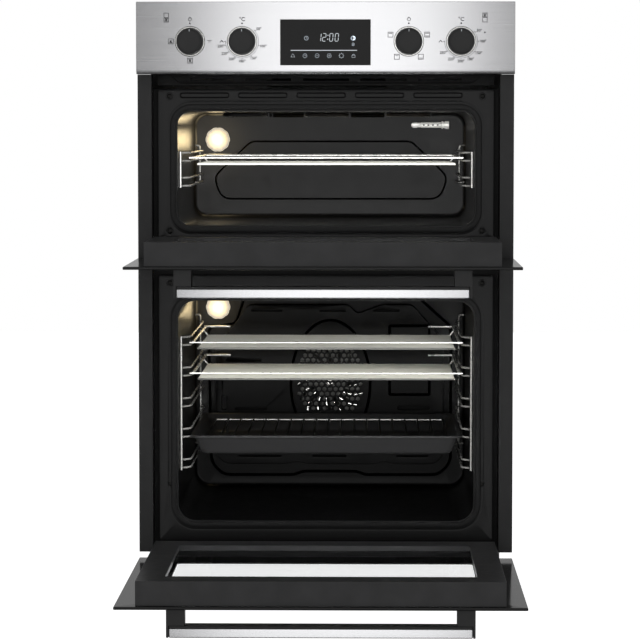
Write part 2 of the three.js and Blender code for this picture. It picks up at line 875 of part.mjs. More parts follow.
function doorFrame(top) {
  const { half, back, skin, frameBelow, footTop, footBack, windowHalf, windowLow, topRail } = DOOR;
  const front = -DOOR.ahead + DOOR.glass + GAP;
  const body = weld([
    box([-half, half], [front, back], [footTop, top]),
    box([-half, half], [front, footBack], [-frameBelow, footTop + skin]),
  ]);
  const hollow = weld([
    box([-half + skin, half - skin], [front - 1, back - skin], [footTop + skin, top - skin]),
    box([-half + skin, half - skin], [front - 1, footBack - skin], [-frameBelow + skin, top - skin]),
  ]);
  const windowTop = top - topRail;
  const window = box([-windowHalf, windowHalf], [back - skin - 1, back + 1], [windowLow, windowTop]);
  const lipDepth = back - DOOR.innerGlassBack - GAP;
  const lip = cut(
    box(
      [-windowHalf - skin, windowHalf + skin],
      [back - lipDepth, back - skin / 2],
      [windowLow - skin, windowTop + skin],
    ),
    [box([-windowHalf, windowHalf], [back - 20, back + 1], [windowLow, windowTop])],
  );
  const slots = [];
  const cheeks = [];
  for (const side of [-1, 1]) {
    const x = side * HINGE.x;
    slots.push(box([x - 3.5, x + 3.5], [-7.5, back + 1], [-frameBelow - 1, 8]));
    for (const outer of [-1, 1]) {
      const centre = x + outer * 6;
      cheeks.push(box([centre - 1.2, centre + 1.2], [-6.5, footBack - skin / 2], [-6.8, 34]));
    }
    cheeks.push(rod([x - 6.5, 0, 0], [x + 6.5, 0, 0], 2 * HINGE.pin, 12));
  }
  const tray = cut(body, [hollow, window, ...slots]);
  return weld([tray, lip, ...cheeks]);
}

function doorInnerGlass(top) {
  const { windowHalf, windowLow, topRail, innerGlass, innerGlassBack } = DOOR;
  const grip = 11;
  return box(
    [-windowHalf - grip, windowHalf + grip],
    [innerGlassBack - innerGlass, innerGlassBack],
    [windowLow - grip, top - topRail + grip],
  );
}

function handleBar(glassTop) {
  const { drop, height, reach, thickness, half } = HANDLE;
  const front = -DOOR.ahead - reach;
  const high = glassTop - drop;
  const section = roundedRectangle(front, front + thickness, high - height, high, 2);
  return extrudeX(section, -half, half, 2);
}

function handleBracket(glassTop) {
  const { drop, height, reach, thickness, half, bracketInner, bracketOuter } = HANDLE;
  const glassFront = -DOOR.ahead - GAP;
  const barFront = -DOOR.ahead - reach;
  const high = glassTop - drop;
  const cap = half + GAP;
  const post = box(
    [bracketInner, bracketOuter],
    [barFront + thickness + GAP, glassFront],
    [high - height, high],
  );
  const end = box([cap, bracketOuter], [barFront, glassFront - 1], [high - height, high]);
  return weld([post, end]);
}

function buildDoor(prefix, hingeZ, doorTop) {
  const door = new THREE.Group();
  door.position.set(0, HINGE_Y, hingeZ);
  door.rotation.x = Math.PI / 2;
  oven.add(door);

  const glassTop = doorTop - hingeZ;
  const frameTop = glassTop - DOOR.frameShort;
  const glass = box(
    [-HALF_WIDTH, HALF_WIDTH],
    [-DOOR.ahead, -DOOR.ahead + DOOR.glass],
    [-DOOR.below, glassTop],
  );
  add(prefix + "_door_glass", glass, LOOK.blackGlass, door);
  add(prefix + "_door_frame", doorFrame(frameTop), LOOK.blackSteel, door);
  add(prefix + "_door_inner_glass", doorInnerGlass(frameTop), LOOK.clearGlass, door);
  add(prefix + "_handle_bar", handleBar(glassTop), LOOK.stainless, door);
  const bracket = handleBracket(glassTop);
  add(prefix + "_handle_bracket_right", bracket, LOOK.plastic, door);
  add(prefix + "_handle_bracket_left", mirrorX(bracket), LOOK.plastic, door);
}

function buildHinge(name, side, z) {
  const { x, thickness, eye, bore, half, length } = HINGE;
  const tail = 13;
  const outline = new THREE.Shape();
  const start = Math.asin(half / eye);
  outline.absarc(0, 0, eye, start, 2 * Math.PI - start);
  outline.lineTo(length - 38, -half);
  outline.lineTo(length - 38, -tail);
  outline.lineTo(length, -tail);
  outline.lineTo(length, tail);
  outline.lineTo(length - 38, tail);
  outline.lineTo(length - 38, half);
  const hole = new THREE.Path();
  hole.absarc(0, 0, bore, 0, 2 * Math.PI, true);
  outline.holes.push(hole);
  const centre = side * x;
  const arm = extrudeX(outline, centre - thickness / 2, centre + thickness / 2, 8);
  add(name, arm.translate(0, HINGE_Y, z), LOOK.galvanised);
}

// ---- Assembly ----
buildCasing();
buildTrims();
buildFrontFrame();
buildFacePlate("upper_face_plate", UPPER);
buildFacePlate("lower_face_plate", LOWER);
buildSeal("upper_door_seal", UPPER);
buildSeal("lower_door_seal", LOWER);
buildCavity("upper_cavity", UPPER, LAMP.upperZ, []);
buildCavity("lower_cavity", LOWER, LAMP.lowerZ, [
  rod([0, BACK_WALL - 1, FAN.z], [0, BACK_WALL + SHEET + 1, FAN.z], 12, 12),
]);
buildLamp("upper_lamp_cover", LAMP.upperZ);
buildLamp("lower_lamp_cover", LAMP.lowerZ);
buildSensor();
buildGrillElement();
buildFanCover();
buildFan();
buildBlower();

const grille = rectangle(-PLATE_HALF, PLATE_HALF, OUTLET.low, OUTLET.high);
for (const [centre, width] of OUTLET_SLOTS) {
  const [x0, x1] = [centre - width / 2, centre + width / 2];
  grille.holes.push(rectangle(x0, x1, OUTLET.slotLow, OUTLET.slotHigh));
}
add("air_outlet_grille", extrudeY(grille, PLATE_FRONT, PLATE_FRONT + SHEET), LOOK.blackSteel);

buildPanel();
buildSwitches();
for (const [name, x] of Object.entries(KNOB_X)) buildKnob(name, x);
buildRacks();
buildShelves();
const panTop = buildPan();
buildTrivet(panTop);
buildDoor("upper", UPPER_HINGE_Z, UPPER_DOOR_TOP);
buildDoor("lower", LOWER_HINGE_Z, LOWER_DOOR_TOP);
for (const [prefix, z] of [
  ["upper", UPPER_HINGE_Z],
  ["lower", LOWER_HINGE_Z],
]) {
  buildHinge(prefix + "_hinge_left", -1, z);
  buildHinge(prefix + "_hinge_right", 1, z);
}

export default oven;
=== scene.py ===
"""Looks for a built-in double oven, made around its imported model. Metres, +Z up, front towards -Y."""

import json
import math

import bmesh
import bpy
from mathutils import Matrix, Vector

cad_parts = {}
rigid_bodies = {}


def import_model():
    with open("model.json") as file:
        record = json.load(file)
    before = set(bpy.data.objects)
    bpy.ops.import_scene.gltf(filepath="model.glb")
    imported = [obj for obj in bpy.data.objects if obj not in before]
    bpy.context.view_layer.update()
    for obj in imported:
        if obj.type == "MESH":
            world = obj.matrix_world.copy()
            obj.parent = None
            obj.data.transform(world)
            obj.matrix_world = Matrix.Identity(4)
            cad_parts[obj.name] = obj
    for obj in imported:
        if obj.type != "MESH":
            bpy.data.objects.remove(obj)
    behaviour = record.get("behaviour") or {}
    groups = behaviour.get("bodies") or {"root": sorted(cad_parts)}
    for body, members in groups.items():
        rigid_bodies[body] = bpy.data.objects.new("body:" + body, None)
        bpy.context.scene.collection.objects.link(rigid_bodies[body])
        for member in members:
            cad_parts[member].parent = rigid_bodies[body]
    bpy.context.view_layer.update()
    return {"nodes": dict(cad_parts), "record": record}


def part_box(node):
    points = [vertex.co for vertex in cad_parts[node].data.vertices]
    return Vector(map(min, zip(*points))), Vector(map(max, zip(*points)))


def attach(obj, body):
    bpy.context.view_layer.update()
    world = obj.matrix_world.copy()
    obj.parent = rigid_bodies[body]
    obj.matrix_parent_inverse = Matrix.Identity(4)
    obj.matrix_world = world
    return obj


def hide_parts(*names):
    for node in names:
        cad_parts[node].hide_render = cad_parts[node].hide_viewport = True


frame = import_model()

MM = 0.001
RECORD = frame["record"]
BODIES = RECORD["behaviour"]["bodies"]
NODE_BODY = {node: body for body, nodes in BODIES.items() for node in nodes}

# The corners of each node's box in millimetres, the unit of every shape below.
LOW = {node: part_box(node)[0] / MM for node in frame["nodes"]}
HIGH = {node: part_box(node)[1] / MM for node in frame["nodes"]}


# ---- Camera, first ----
def make_camera():
    """The camera stands at eye height, well back, and looks slightly down and to the left."""
    pan = -0.0174
    tilt = 0.0679
    camera = bpy.data.cameras.new("camera")
    camera.sensor_width = 36.0
    camera.lens = 161.71
    camera.clip_end = 50.0
    seat = bpy.data.objects.new("camera", camera)
    bpy.context.scene.collection.objects.link(seat)
    seat.location = (0.0702, -4.816, 0.6961)
    forward = Vector((math.sin(pan) * math.cos(tilt), math.cos(pan) * math.cos(tilt), -math.sin(tilt)))
    seat.rotation_euler = forward.to_track_quat("-Z", "Y").to_euler()
    bpy.context.scene.camera = seat


make_camera()


# ---- Outlines in a plane, as lists of (u, v), anticlockwise ----
def arc(u, v, radius, start, end, steps):
    """Points on an arc, angles in degrees."""
    angles = [math.radians(start + (end - start) * i / steps) for i in range(steps + 1)]
    return [(u + radius * math.cos(angle), v + radius * math.sin(angle)) for angle in angles]


def rounded_outline(u0, u1, v0, v1, radius, steps=6):
    """A rectangle with rounded corners."""
    return (
        arc(u1 - radius, v0 + radius, radius, -90, 0, steps)
        + arc(u1 - radius, v1 - radius, radius, 0, 90, steps)
        + arc(u0 + radius, v1 - radius, radius, 90, 180, steps)
        + arc(u0 + radius, v0 + radius, radius, 180, 270, steps)
    )


def circle_outline(u, v, radius, count=32, start=0.0):
    """A circle, or a regular polygon where count is small."""
    turn = 360.0 / count
    return arc(u, v, radius, start, start + 360 - turn, count - 1)


def corner_curve(before, here, after, radius, share, steps):
    """A curve that rounds a corner and takes at most a share of each side."""
    towards = before - here
    away = after - here
    reach = min(radius, share * towards.length, share * away.length)
    a = here + towards.normalized() * reach
    b = here + away.normalized() * reach
    spots = [k / steps for k in range(steps + 1)]
    return [a * (1 - t) ** 2 + here * 2 * t * (1 - t) + b * t**2 for t in spots]


def smooth_outline(corners, steps=4):
    """A polygon of (u, v, radius) corners, each rounded by its radius."""
    points = []
    for i, (u, v, radius) in enumerate(corners):
        before = Vector(corners[i - 1][:2])
        after = Vector(corners[(i + 1) % len(corners)][:2])
        points += corner_curve(before, Vector((u, v)), after, radius, 0.45, steps)
    return [tuple(point) for point in points]


def inset(outline, distance):
    """The outline moved inwards by a distance."""
    points = [Vector(p) for p in outline]
    moved = []
    for i, here in enumerate(points):
        a = (here - points[i - 1]).normalized()
        b = (points[(i + 1) % len(points)] - here).normalized()
        total = Vector((-a.y - b.y, a.x + b.x))
        scale = 2.0 / max(total.length_squared, 0.5)
        moved.append(tuple(here + total * scale * distance))
    return moved


# ---- Mesh helpers: they take millimetres and build in metres ----
def loft(bm, rings):
    """Bands of faces between rings of the same length."""
    for first, second in zip(rings, rings[1:]):
        for i in range(len(first)):
            j = (i + 1) % len(first)
            bm.faces.new((first[i], first[j], second[j], second[i]))


def ring_of(bm, place, outline, height=0.0):
    """New vertices along an outline, where place turns (u, v, height) into a point."""
    return [bm.verts.new(place(u, v, height) * MM) for u, v in outline]


def front_plane(y):
    """A place on a plane that faces the front. Height is towards the front."""
    return lambda u, v, h: Vector((u, y - h, v))


def fill(bm, rings):
    """Fills the flat region inside the first ring and outside the others."""
    edges = []
    for ring in rings:
        for i, vertex in enumerate(ring):
            pair = (ring[i - 1], vertex)
            edges.append(bm.edges.get(pair) or bm.edges.new(pair))
    bmesh.ops.triangle_fill(bm, use_beauty=True, use_dissolve=False, edges=edges)


def feature(outline, steps, hole=False, inner=()):
    """Something pressed or cut in a sheet: steps are (inset, height) pairs, and inner its own features."""
    return {"outline": outline, "steps": steps, "hole": hole, "inner": inner}


def ramp(width, height, count=3):
    """Steps that lead smoothly inwards by a width and up by a height."""
    spots = [i / count for i in range(1, count + 1)]
    return [(width * t, height * t * t * (3 - 2 * t)) for t in spots]


def groove(width, depth, rise=0.0):
    """A steep-sided groove; the ground inside it may stand a little higher."""
    return [(0.4, -0.4), (width / 2, -depth), (width - 0.4, rise - 0.4), (width, rise)]


def press(bm, ring, features, place, height=0.0):
    """Fills a ring with sheet metal that holds features."""
    starts = [ring_of(bm, place, item["outline"], height) for item in features]
    fill(bm, [ring] + starts)
    for item, start in zip(features, starts):
        rings = [start]
        for distance, rise in item["steps"]:
            rings.append(ring_of(bm, place, inset(item["outline"], distance), height + rise))
        loft(bm, rings)
        if not item["hole"]:
            press(bm, rings[-1], item["inner"], place, height + item["steps"][-1][1])


def sheet(bm, outline, features, place, rim=()):
    """A pressed sheet with a rim: rim holds (outset, height) steps beyond the outline."""
    ring = ring_of(bm, place, outline)
    press(bm, ring, features, place)
    loft(bm, [ring] + [ring_of(bm, place, inset(outline, -distance), rise) for distance, rise in rim])


def thicken(bm, shift):
    """Gives a sheet its thickness: a copy, moved by shift(vertex) and joined along the rims."""
    rims = [tuple(edge.verts) for edge in bm.edges if edge.is_boundary]
    moves = {vertex: Vector(shift(vertex)) * MM for vertex in bm.verts}
    geometry = list(bm.verts) + list(bm.edges) + list(bm.faces)
    copied = bmesh.ops.duplicate(bm, geom=geometry)["vert_map"]
    for vertex, move in moves.items():
        copied[vertex].co += move
    for a, b in rims:
        bm.faces.new((a, b, copied[b], copied[a]))


def sweep(bm, path, radius, sides=12, taper=0.0):
    """A round wire along a path, with domed ends. Taper is the length over which each end narrows."""
    total = [0.0]
    for a, b in zip(path, path[1:]):
        total.append(total[-1] + (b - a).length)
    side = (path[1] - path[0]).normalized().orthogonal().normalized()
    rings = []
    ends = []
    for i, here in enumerate(path):
        along = (path[min(i + 1, len(path) - 1)] - path[max(i - 1, 0)]).normalized()
        side = (side - along * side.dot(along)).normalized()
        up = along.cross(side)
        size = radius
        if taper > 0:
            size *= 0.45 + 0.55 * min(1.0, total[i] / taper, (total[-1] - total[i]) / taper)
        place = lambda u, v, h: here + side * u + up * v + along * h
        rings.append(ring_of(bm, place, circle_outline(0, 0, size, sides)))
        if i in (0, len(path) - 1):
            tip = size * (0.28 if i else -0.28)
            ends.append(ring_of(bm, place, circle_outline(0, 0, size * 0.6, sides), tip))
    loft(bm, rings)
    for ring, end in zip((rings[0], rings[-1]), ends):
        loft(bm, [ring, end])
        bm.faces.new(end)


def wire(bm, points, radius, rounding=4.0, taper=0.0, sides=12, steps=4):
    """A round wire through points, with its bends rounded."""
    points = [Vector(point) for point in points]
    path = [points[0]]
    for before, here, after in zip(points, points[1:], points[2:]):
        path += corner_curve(before, here, after, rounding, 0.48, steps)
    sweep(bm, path + [points[-1]], radius, sides, taper)


def lathe(bm, profile, origin, axis="Y", segments=48, shape=None):
    """Turns (radius, along) points about an axis. shape(angle, index) scales the radius."""

    def add(radius, angle, along):
        point = [radius * math.cos(angle), radius * math.sin(angle)]
        point.insert("XYZ".index(axis), along)
        return bm.verts.new((Vector(origin) + Vector(point)) * MM)

    rings = []
    for index, (radius, along) in enumerate(profile):
        ring = []
        for k in range(segments if radius else 1):
            angle = 2 * math.pi * k / segments
            ring.append(add(radius * (shape(angle, index) if shape else 1.0), angle, along))
        rings.append(ring)
    for first, second in zip(rings, rings[1:]):
        if len(first) == len(second):
            loft(bm, [first, second])
            continue
        tip, ring = (first[0], second) if len(first) == 1 else (second[0], first)
        for i in range(segments):
            bm.faces.new((tip, ring[i], ring[(i + 1) % segments]))


def round_edges(bm, edges, width, segments=2):
    """Rounds edges by a width in metres."""
    options = {"profile": 0.5, "affect": "EDGES", "clamp_overlap": True}
    bmesh.ops.bevel(bm, geom=edges, offset=width, segments=segments, **options)


def block(bm, low, high, edge, segments=2):
    """A box with rounded edges."""
    low, high = Vector(low) * MM, Vector(high) * MM
    size = high - low
    matrix = Matrix.Translation((high + low) / 2) @ Matrix.Diagonal((*size, 1.0))
    made = bmesh.ops.create_cube(bm, size=1.0, matrix=matrix)["verts"]
    edges = {e for v in made for e in v.link_edges}
    round_edges(bm, list(edges), min(edge * MM, 0.45 * min(size)), segments)


def merge(bm, part, matrix):
    """Moves a part by a matrix and adds it to a mesh."""
    mesh = bpy.data.meshes.new("part")
    part.to_mesh(mesh)
    part.free()
    mesh.transform(matrix)
    bm.from_mesh(mesh)
    bpy.data.meshes.remove(mesh)


def finish_mesh(name, bm, material, crease=34):
    """Turns a bmesh into an object with smooth faces and crisp edges."""
    bmesh.ops.remove_doubles(bm, verts=bm.verts, dist=1e-6)
    bmesh.ops.recalc_face_normals(bm, faces=bm.faces)
    mesh = bpy.data.meshes.new(name)
    bm.to_mesh(mesh)
    bm.free()
    mesh.shade_smooth()
    mesh.set_sharp_from_angle(angle=math.radians(crease))
    mesh.materials.append(material)
    obj = bpy.data.objects.new(name, mesh)
    bpy.context.scene.collection.objects.link(obj)
    even = obj.modifiers.new("even_normals", "WEIGHTED_NORMAL")
    even.mode = "FACE_AREA_WITH_ANGLE"
    even.keep_sharp = True
    return obj


def piece(name, bm, material, node, replaces=(), crease=34):
    """A finished piece that rides with the body of a node and stands for the nodes it replaces."""
    obj = finish_mesh(name, bm, material, crease)
    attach(obj, NODE_BODY[node])
    if replaces:
        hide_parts(*replaces)


def rounded_copy(node, material, edge):
    """A copy of a node with its sharp edges rounded by a width."""
    bm = bmesh.new()
    bm.from_mesh(frame["nodes"][node].data)
    bmesh.ops.remove_doubles(bm, verts=bm.verts, dist=2e-6)
    bmesh.ops.dissolve_limit(bm, angle_limit=math.radians(1.0), verts=bm.verts, edges=bm.edges)
    solid = [item for item in bm.edges if len(item.link_faces) == 2]
    sharp = [item for item in solid if item.calc_face_angle() > math.radians(30)]
    round_edges(bm, sharp, edge * MM)
    piece(node + "_finish", bm, material, node, (node,))


# ---- Materials ----
class Look:
    """A node material around one Principled shader. In the names of inputs, _ stands for a space."""

    def __init__(self, name, color, roughness, metallic=0.0, **inputs):
        self.material = bpy.data.materials.new(name)
        self.material.use_nodes = True
        self.tree = self.material.node_tree
        self.shader = self.tree.nodes["Principled BSDF"]
        inputs.update(Base_Color=(*color, 1.0), Roughness=roughness, Metallic=metallic)
        for key, value in inputs.items():
            self.shader.inputs[key.replace("_", " ")].default_value = value

    def add(self, kind, source, entry, **inputs):
        """Adds a node, sets its inputs and feeds one of them from a source."""
        node = self.tree.nodes.new(kind)
        for key, value in inputs.items():
            node.inputs[key.replace("_", " ")].default_value = value
        self.tree.links.new(source, node.inputs[entry])
        return node.outputs

    def join(self, output, target):
        self.tree.links.new(output, self.shader.inputs[target])

    def texture(self, kind, stretch, **inputs):
        """A texture over the coordinates of the piece in metres, stretched along its axes."""
        spot = self.tree.nodes.new("ShaderNodeTexCoord").outputs["Object"]
        mapped = self.add("ShaderNodeMapping", spot, "Vector", Scale=stretch)["Vector"]
        return self.add(kind, mapped, "Vector", **inputs)

    def noise(self, scale, stretch=(1.0, 1.0, 1.0), detail=4.0):
        return self.texture("ShaderNodeTexNoise", stretch, Scale=scale, Detail=detail)["Fac"]

    def cells(self, scale, stretch=(1.0, 1.0, 1.0)):
        return self.texture("ShaderNodeTexVoronoi", stretch, Scale=scale)

    def vary_color(self, factor, low, high, low_at=0.3, high_at=0.7, target="Base Color"):
        """Feeds a colour input with a ramp between two colours."""
        node = self.tree.nodes.new("ShaderNodeValToRGB")
        for element, spot, color in zip(node.color_ramp.elements, (low_at, high_at), (low, high)):
            element.position = spot
            element.color = (*color, 1.0)
        self.tree.links.new(factor, node.inputs["Fac"])
        self.join(node.outputs["Color"], target)

    def vary_roughness(self, factor, low, high):
        span = self.add("ShaderNodeMapRange", factor, "Value", To_Min=low, To_Max=high)
        self.join(span["Result"], "Roughness")

    def bump(self, height, strength, distance):
        bump = self.add("ShaderNodeBump", height, "Height", Strength=strength, Distance=distance)
        self.join(bump["Normal"], "Normal")


def grey(value):
    return (value, value, value * 1.02)


def enamel_look(name, value, fleck, gloss):
    """Fired black enamel: a gentle orange peel and pale flecks."""
    look = Look(name, grey(value), gloss, Coat_Weight=0.25, Coat_Roughness=0.15)
    look.vary_color(look.cells(900.0)["Distance"], grey(fleck), grey(value), 0.08, 0.16)
    look.vary_roughness(look.noise(60.0), gloss - 0.05, gloss + 0.08)
    look.bump(look.noise(420.0, detail=2.0), 0.12, 0.0001)
    return look.material


def painted_look(name, value, roughness=0.42, specular=0.5):
    """Powder coat: a fine even grain."""
    look = Look(name, grey(value), roughness, Specular_IOR_Level=specular)
    look.vary_color(look.noise(30.0), grey(value * 0.9), grey(value * 1.12))
    look.vary_roughness(look.noise(90.0), roughness - 0.05, roughness + 0.08)
    look.bump(look.noise(1500.0, detail=2.0), 0.18, 0.00006)
    return look.material


def brushed_look(name, value, roughness):
    """Stainless steel brushed along X."""
    look = Look(name, grey(value), roughness, 1.0, Anisotropic=0.7)
    streaks = look.noise(1.0, (5.0, 900.0, 2400.0), 5.0)
    look.vary_color(streaks, grey(value * 0.9), grey(value * 1.05), 0.25, 0.75)
    look.vary_roughness(streaks, roughness - 0.06, roughness + 0.1)
    look.bump(streaks, 0.12, 0.00004)
    across = look.tree.nodes.new("ShaderNodeTangent")
    across.direction_type = "RADIAL"
    across.axis = "X"
    look.join(across.outputs["Tangent"], "Tangent")
    return look.material


def chrome_look(name, value, roughness, metallic=1.0):
    """Plating that is a little warmer in patches."""
    look = Look(name, (value, value, value * 0.97), roughness, metallic)
    warm = (value * 0.93, value * 0.92, value * 0.87)
    look.vary_color(look.noise(25.0, (0.3, 1.0, 1.0)), warm, (value, value, value * 0.96))
    look.vary_roughness(look.noise(60.0), roughness - 0.02, roughness + 0.05)
    return look.material


def satin_look(name):
    """Dull plating, a little yellow."""
    look = Look(name, (0.8, 0.795, 0.71), 0.5, 0.1)
    look.vary_color(look.noise(25.0, (0.3, 1.0, 1.0)), (0.76, 0.75, 0.66), (0.82, 0.81, 0.73))
    look.vary_roughness(look.noise(60.0), 0.45, 0.55)
    return look.material


def galvanised_look(name):
    """Zinc-coated sheet with its crystal pattern."""
    look = Look(name, grey(0.5), 0.42, 0.9)
    crystals = look.cells(75.0)["Color"]
    look.vary_color(crystals, grey(0.42), grey(0.56), 0.1, 0.9)
    look.vary_roughness(crystals, 0.34, 0.52)
    look.bump(look.noise(500.0, detail=3.0), 0.1, 0.00005)
    return look.material


def plastic_look(name, value, roughness):
    """Moulded plastic with a fine grain."""
    look = Look(name, grey(value), roughness)
    look.vary_color(look.noise(25.0), grey(value * 0.92), grey(value * 1.1))
    look.vary_roughness(look.noise(200.0), roughness - 0.04, roughness + 0.06)
    look.bump(look.noise(2200.0, detail=1.0), 0.15, 0.00005)
    return look.material


def gasket_look(name):
    """A braided black sleeve."""
    look = Look(name, grey(0.028), 0.55)
    braid = look.cells(650.0)["Distance"]
    look.vary_color(braid, grey(0.034), grey(0.02), 0.1, 0.7)
    look.vary_roughness(look.noise(120.0), 0.48, 0.64)
    look.bump(braid, 0.3, 0.0002)
    return look.material


def clear_glass_look(name, tint):
    """Glass that lets the light pass almost straight through."""
    look = Look(name, tint, 0.0, Transmission_Weight=1.0, IOR=1.03)
    look.vary_color(look.noise(3.0), tint, tuple(min(1.0, c * 1.02) for c in tint))
    return look.material


def gloss_black_look(name, value, roughness):
    """Black glass: faint dust makes the gloss uneven."""
    look = Look(name, grey(value), roughness, Specular_IOR_Level=0.22)
    look.vary_color(look.noise(12.0), grey(value), grey(value * 1.3))
    look.vary_roughness(look.noise(35.0), roughness, roughness + 0.05)
    return look.material


def lamp_look(name):
    """A lit moulded glass cover."""
    look = Look(name, (0.95, 0.9, 0.8), 0.25, Emission_Strength=0.55)
    look.vary_color(look.noise(60.0), (1.0, 0.86, 0.62), (1.0, 0.93, 0.8), target="Emission Color")
    look.bump(look.noise(240.0), 0.2, 0.0004)
    return look.material


def glow_look(name, color, strength):
    """Lit segments and symbols."""
    look = Look(name, color, 0.4, Emission_Strength=strength)
    look.vary_color(look.noise(400.0), tuple(c * 0.9 for c in color), color, target="Emission Color")
    return look.material


def element_look(name):
    """An oxidised steel heater sheath, straw to blue-grey."""
    look = Look(name, (0.04, 0.036, 0.03), 0.5, 0.3)
    look.vary_color(look.noise(18.0), (0.02, 0.021, 0.024), (0.05, 0.04, 0.03))
    look.vary_roughness(look.noise(90.0), 0.35, 0.6)
    look.bump(look.noise(600.0), 0.2, 0.00008)
    return look.material


def board_look(name):
    """A circuit board: green resist with paler tracks."""
    look = Look(name, (0.02, 0.11, 0.05), 0.35)
    tracks = look.cells(180.0, (1.0, 1.0, 3.0))["Distance"]
    look.vary_color(tracks, (0.05, 0.2, 0.09), (0.015, 0.09, 0.04), 0.05, 0.2)
    look.vary_roughness(look.noise(80.0), 0.3, 0.45)
    look.bump(tracks, 0.2, 0.00008)
    return look.material


# One black enamel in lit and shaded copies: the upper cavity's is lighter as painted light, the lower
# cavity's and fan cover's darker as painted shade.
UPPER_ENAMEL_PAINTED_LIGHT = enamel_look("black_enamel", 0.045, 0.075, 0.3)
LOWER_ENAMEL_PAINTED_SHADE = enamel_look("lower_enamel_painted_shade", 0.014, 0.024, 0.36)
FACE_ENAMEL = enamel_look("face_enamel", 0.02, 0.03, 0.36)
# The pan's enamel is made lighter than the real enamel, as painted light.
PAN_ENAMEL_PAINTED_LIGHT = enamel_look("pan_enamel_painted_light", 0.065, 0.1, 0.34)
# Near-black paint, darker than the real black paint: painted shade in the channels beside the trims and under
# the panel's overhang.
FRAME_PAINTED_SHADE = painted_look("frame_painted_shade", 0.006, 0.6)
TRIM_PAINT = painted_look("trim_paint", 0.024, 0.5)
DOOR_PAINT = painted_look("door_paint", 0.068, 0.3, 0.12)
STEEL = brushed_look("brushed_steel", 0.5, 0.22)
CHROME = chrome_look("chrome_wire", 0.75, 0.26, 0.5)
RACK_WIRE = chrome_look("rack_wire", 0.3, 0.26, 0.5)
SATIN_WIRE = satin_look("satin_wire")
DARK_CHROME = chrome_look("dark_chrome", 0.1, 0.35)
FAN_METAL = chrome_look("fan_aluminium", 0.5, 0.2)
DISC_METAL = chrome_look("fan_disc_metal", 0.4, 0.3)
RING_METAL = chrome_look("bright_ring", 0.85, 0.2)
PROBE_METAL = chrome_look("probe_metal", 0.95, 0.35, 0.1)
SCREW_METAL = chrome_look("black_screw", 0.05, 0.35)
ZINC = galvanised_look("galvanised_steel")
PLASTIC = plastic_look("black_plastic", 0.022, 0.48)
KNOB_PLASTIC = plastic_look("knob_plastic", 0.018, 0.42)
PANEL_PRINT = plastic_look("panel_print", 0.025, 0.5)
GASKET = gasket_look("gasket")
BLACK_GLASS = gloss_black_look("black_glass", 0.012, 0.08)
# Near-black gloss for the sensor sleeve's slots: painted shade.
SLOT_PAINTED_SHADE = gloss_black_look("slot_painted_shade", 0.016, 0.32)
CLEAR_GLASS = clear_glass_look("clear_glass", (0.975, 0.98, 0.98))
LAMP = lamp_look("lamp_glass")
DIGITS = glow_look("lit_digits", (0.9, 0.95, 1.0), 0.5)
SYMBOLS = glow_look("lit_symbols", (0.7, 0.74, 0.78), 0.28)
ELEMENT = element_look("heater_sheath")
BOARD = board_look("circuit_board")


# ---- Screws ----
def screw(bm, centre, axis, radius):
    """A pan-head screw with a cross recess. Centre is under the head."""
    head = bmesh.new()
    profile = [(0.0, 1.0), (0.45, 0.98), (0.8, 0.75), (1.0, 0.35), (1.0, 0.0), (0.0, 0.0)]
    lathe(head, [(r * radius, t * radius * 0.55) for r, t in profile], (0, 0, 0), "Z", 20)
    bmesh.ops.recalc_face_normals(head, faces=head.faces)
    for u, v in ((0.55, 0.1), (0.1, 0.55)):
        block(head, Vector((-u, -v, 0.42)) * radius, Vector((u, v, 0.556)) * radius, 0.02 * radius, 1)
    turn = Vector((0, 0, 1)).rotation_difference(Vector(axis)).to_matrix().to_4x4()
    merge(bm, head, Matrix.Translation(Vector(centre) * MM) @ turn)


def screws(name, places, axis, radius, node, material=CHROME):
    """One piece that holds the same screw at several places."""
    bm = bmesh.new()
    for place in places:
        screw(bm, place, axis, radius)
    piece(name, bm, material, node)


# ---- Casing ----
THICKNESS = 1.2
HEAD = 2.0


def slots(count, u, v, height):
    """A row of rounded vent slots, cut right through."""
    pitch, width = 16, 7
    row = []
    for i in range(count):
        left = u + i * pitch
        outline = rounded_outline(left, left + width, v, v + height, width * 0.45, 4)
        row.append(feature(outline, [(0.4, -0.4), (0.5, -THICKNESS)], hole=True))
    return row


def ribs(places, rise=-2.0):
    """Long pressed ribs that stiffen a panel: each place is (u0, u1, v0, v1)."""
    made = []
    for u0, u1, v0, v1 in places:
        radius = min(u1 - u0, v1 - v0) * 0.48
        made.append(feature(rounded_outline(u0, u1, v0, v1, radius), ramp(3.0, rise)))
    return made


def panel(node, outline, features, place, shift, rim=(), lip=None):
    """A pressed zinc panel that stands for its node, with an optional solid lip."""
    bm = bmesh.new()
    sheet(bm, outline, features, place, rim)
    thicken(bm, lambda vertex: shift)
    if lip:
        block(bm, *lip, 0.3)
    piece(node + "_sheet", bm, ZINC, node, (node,))


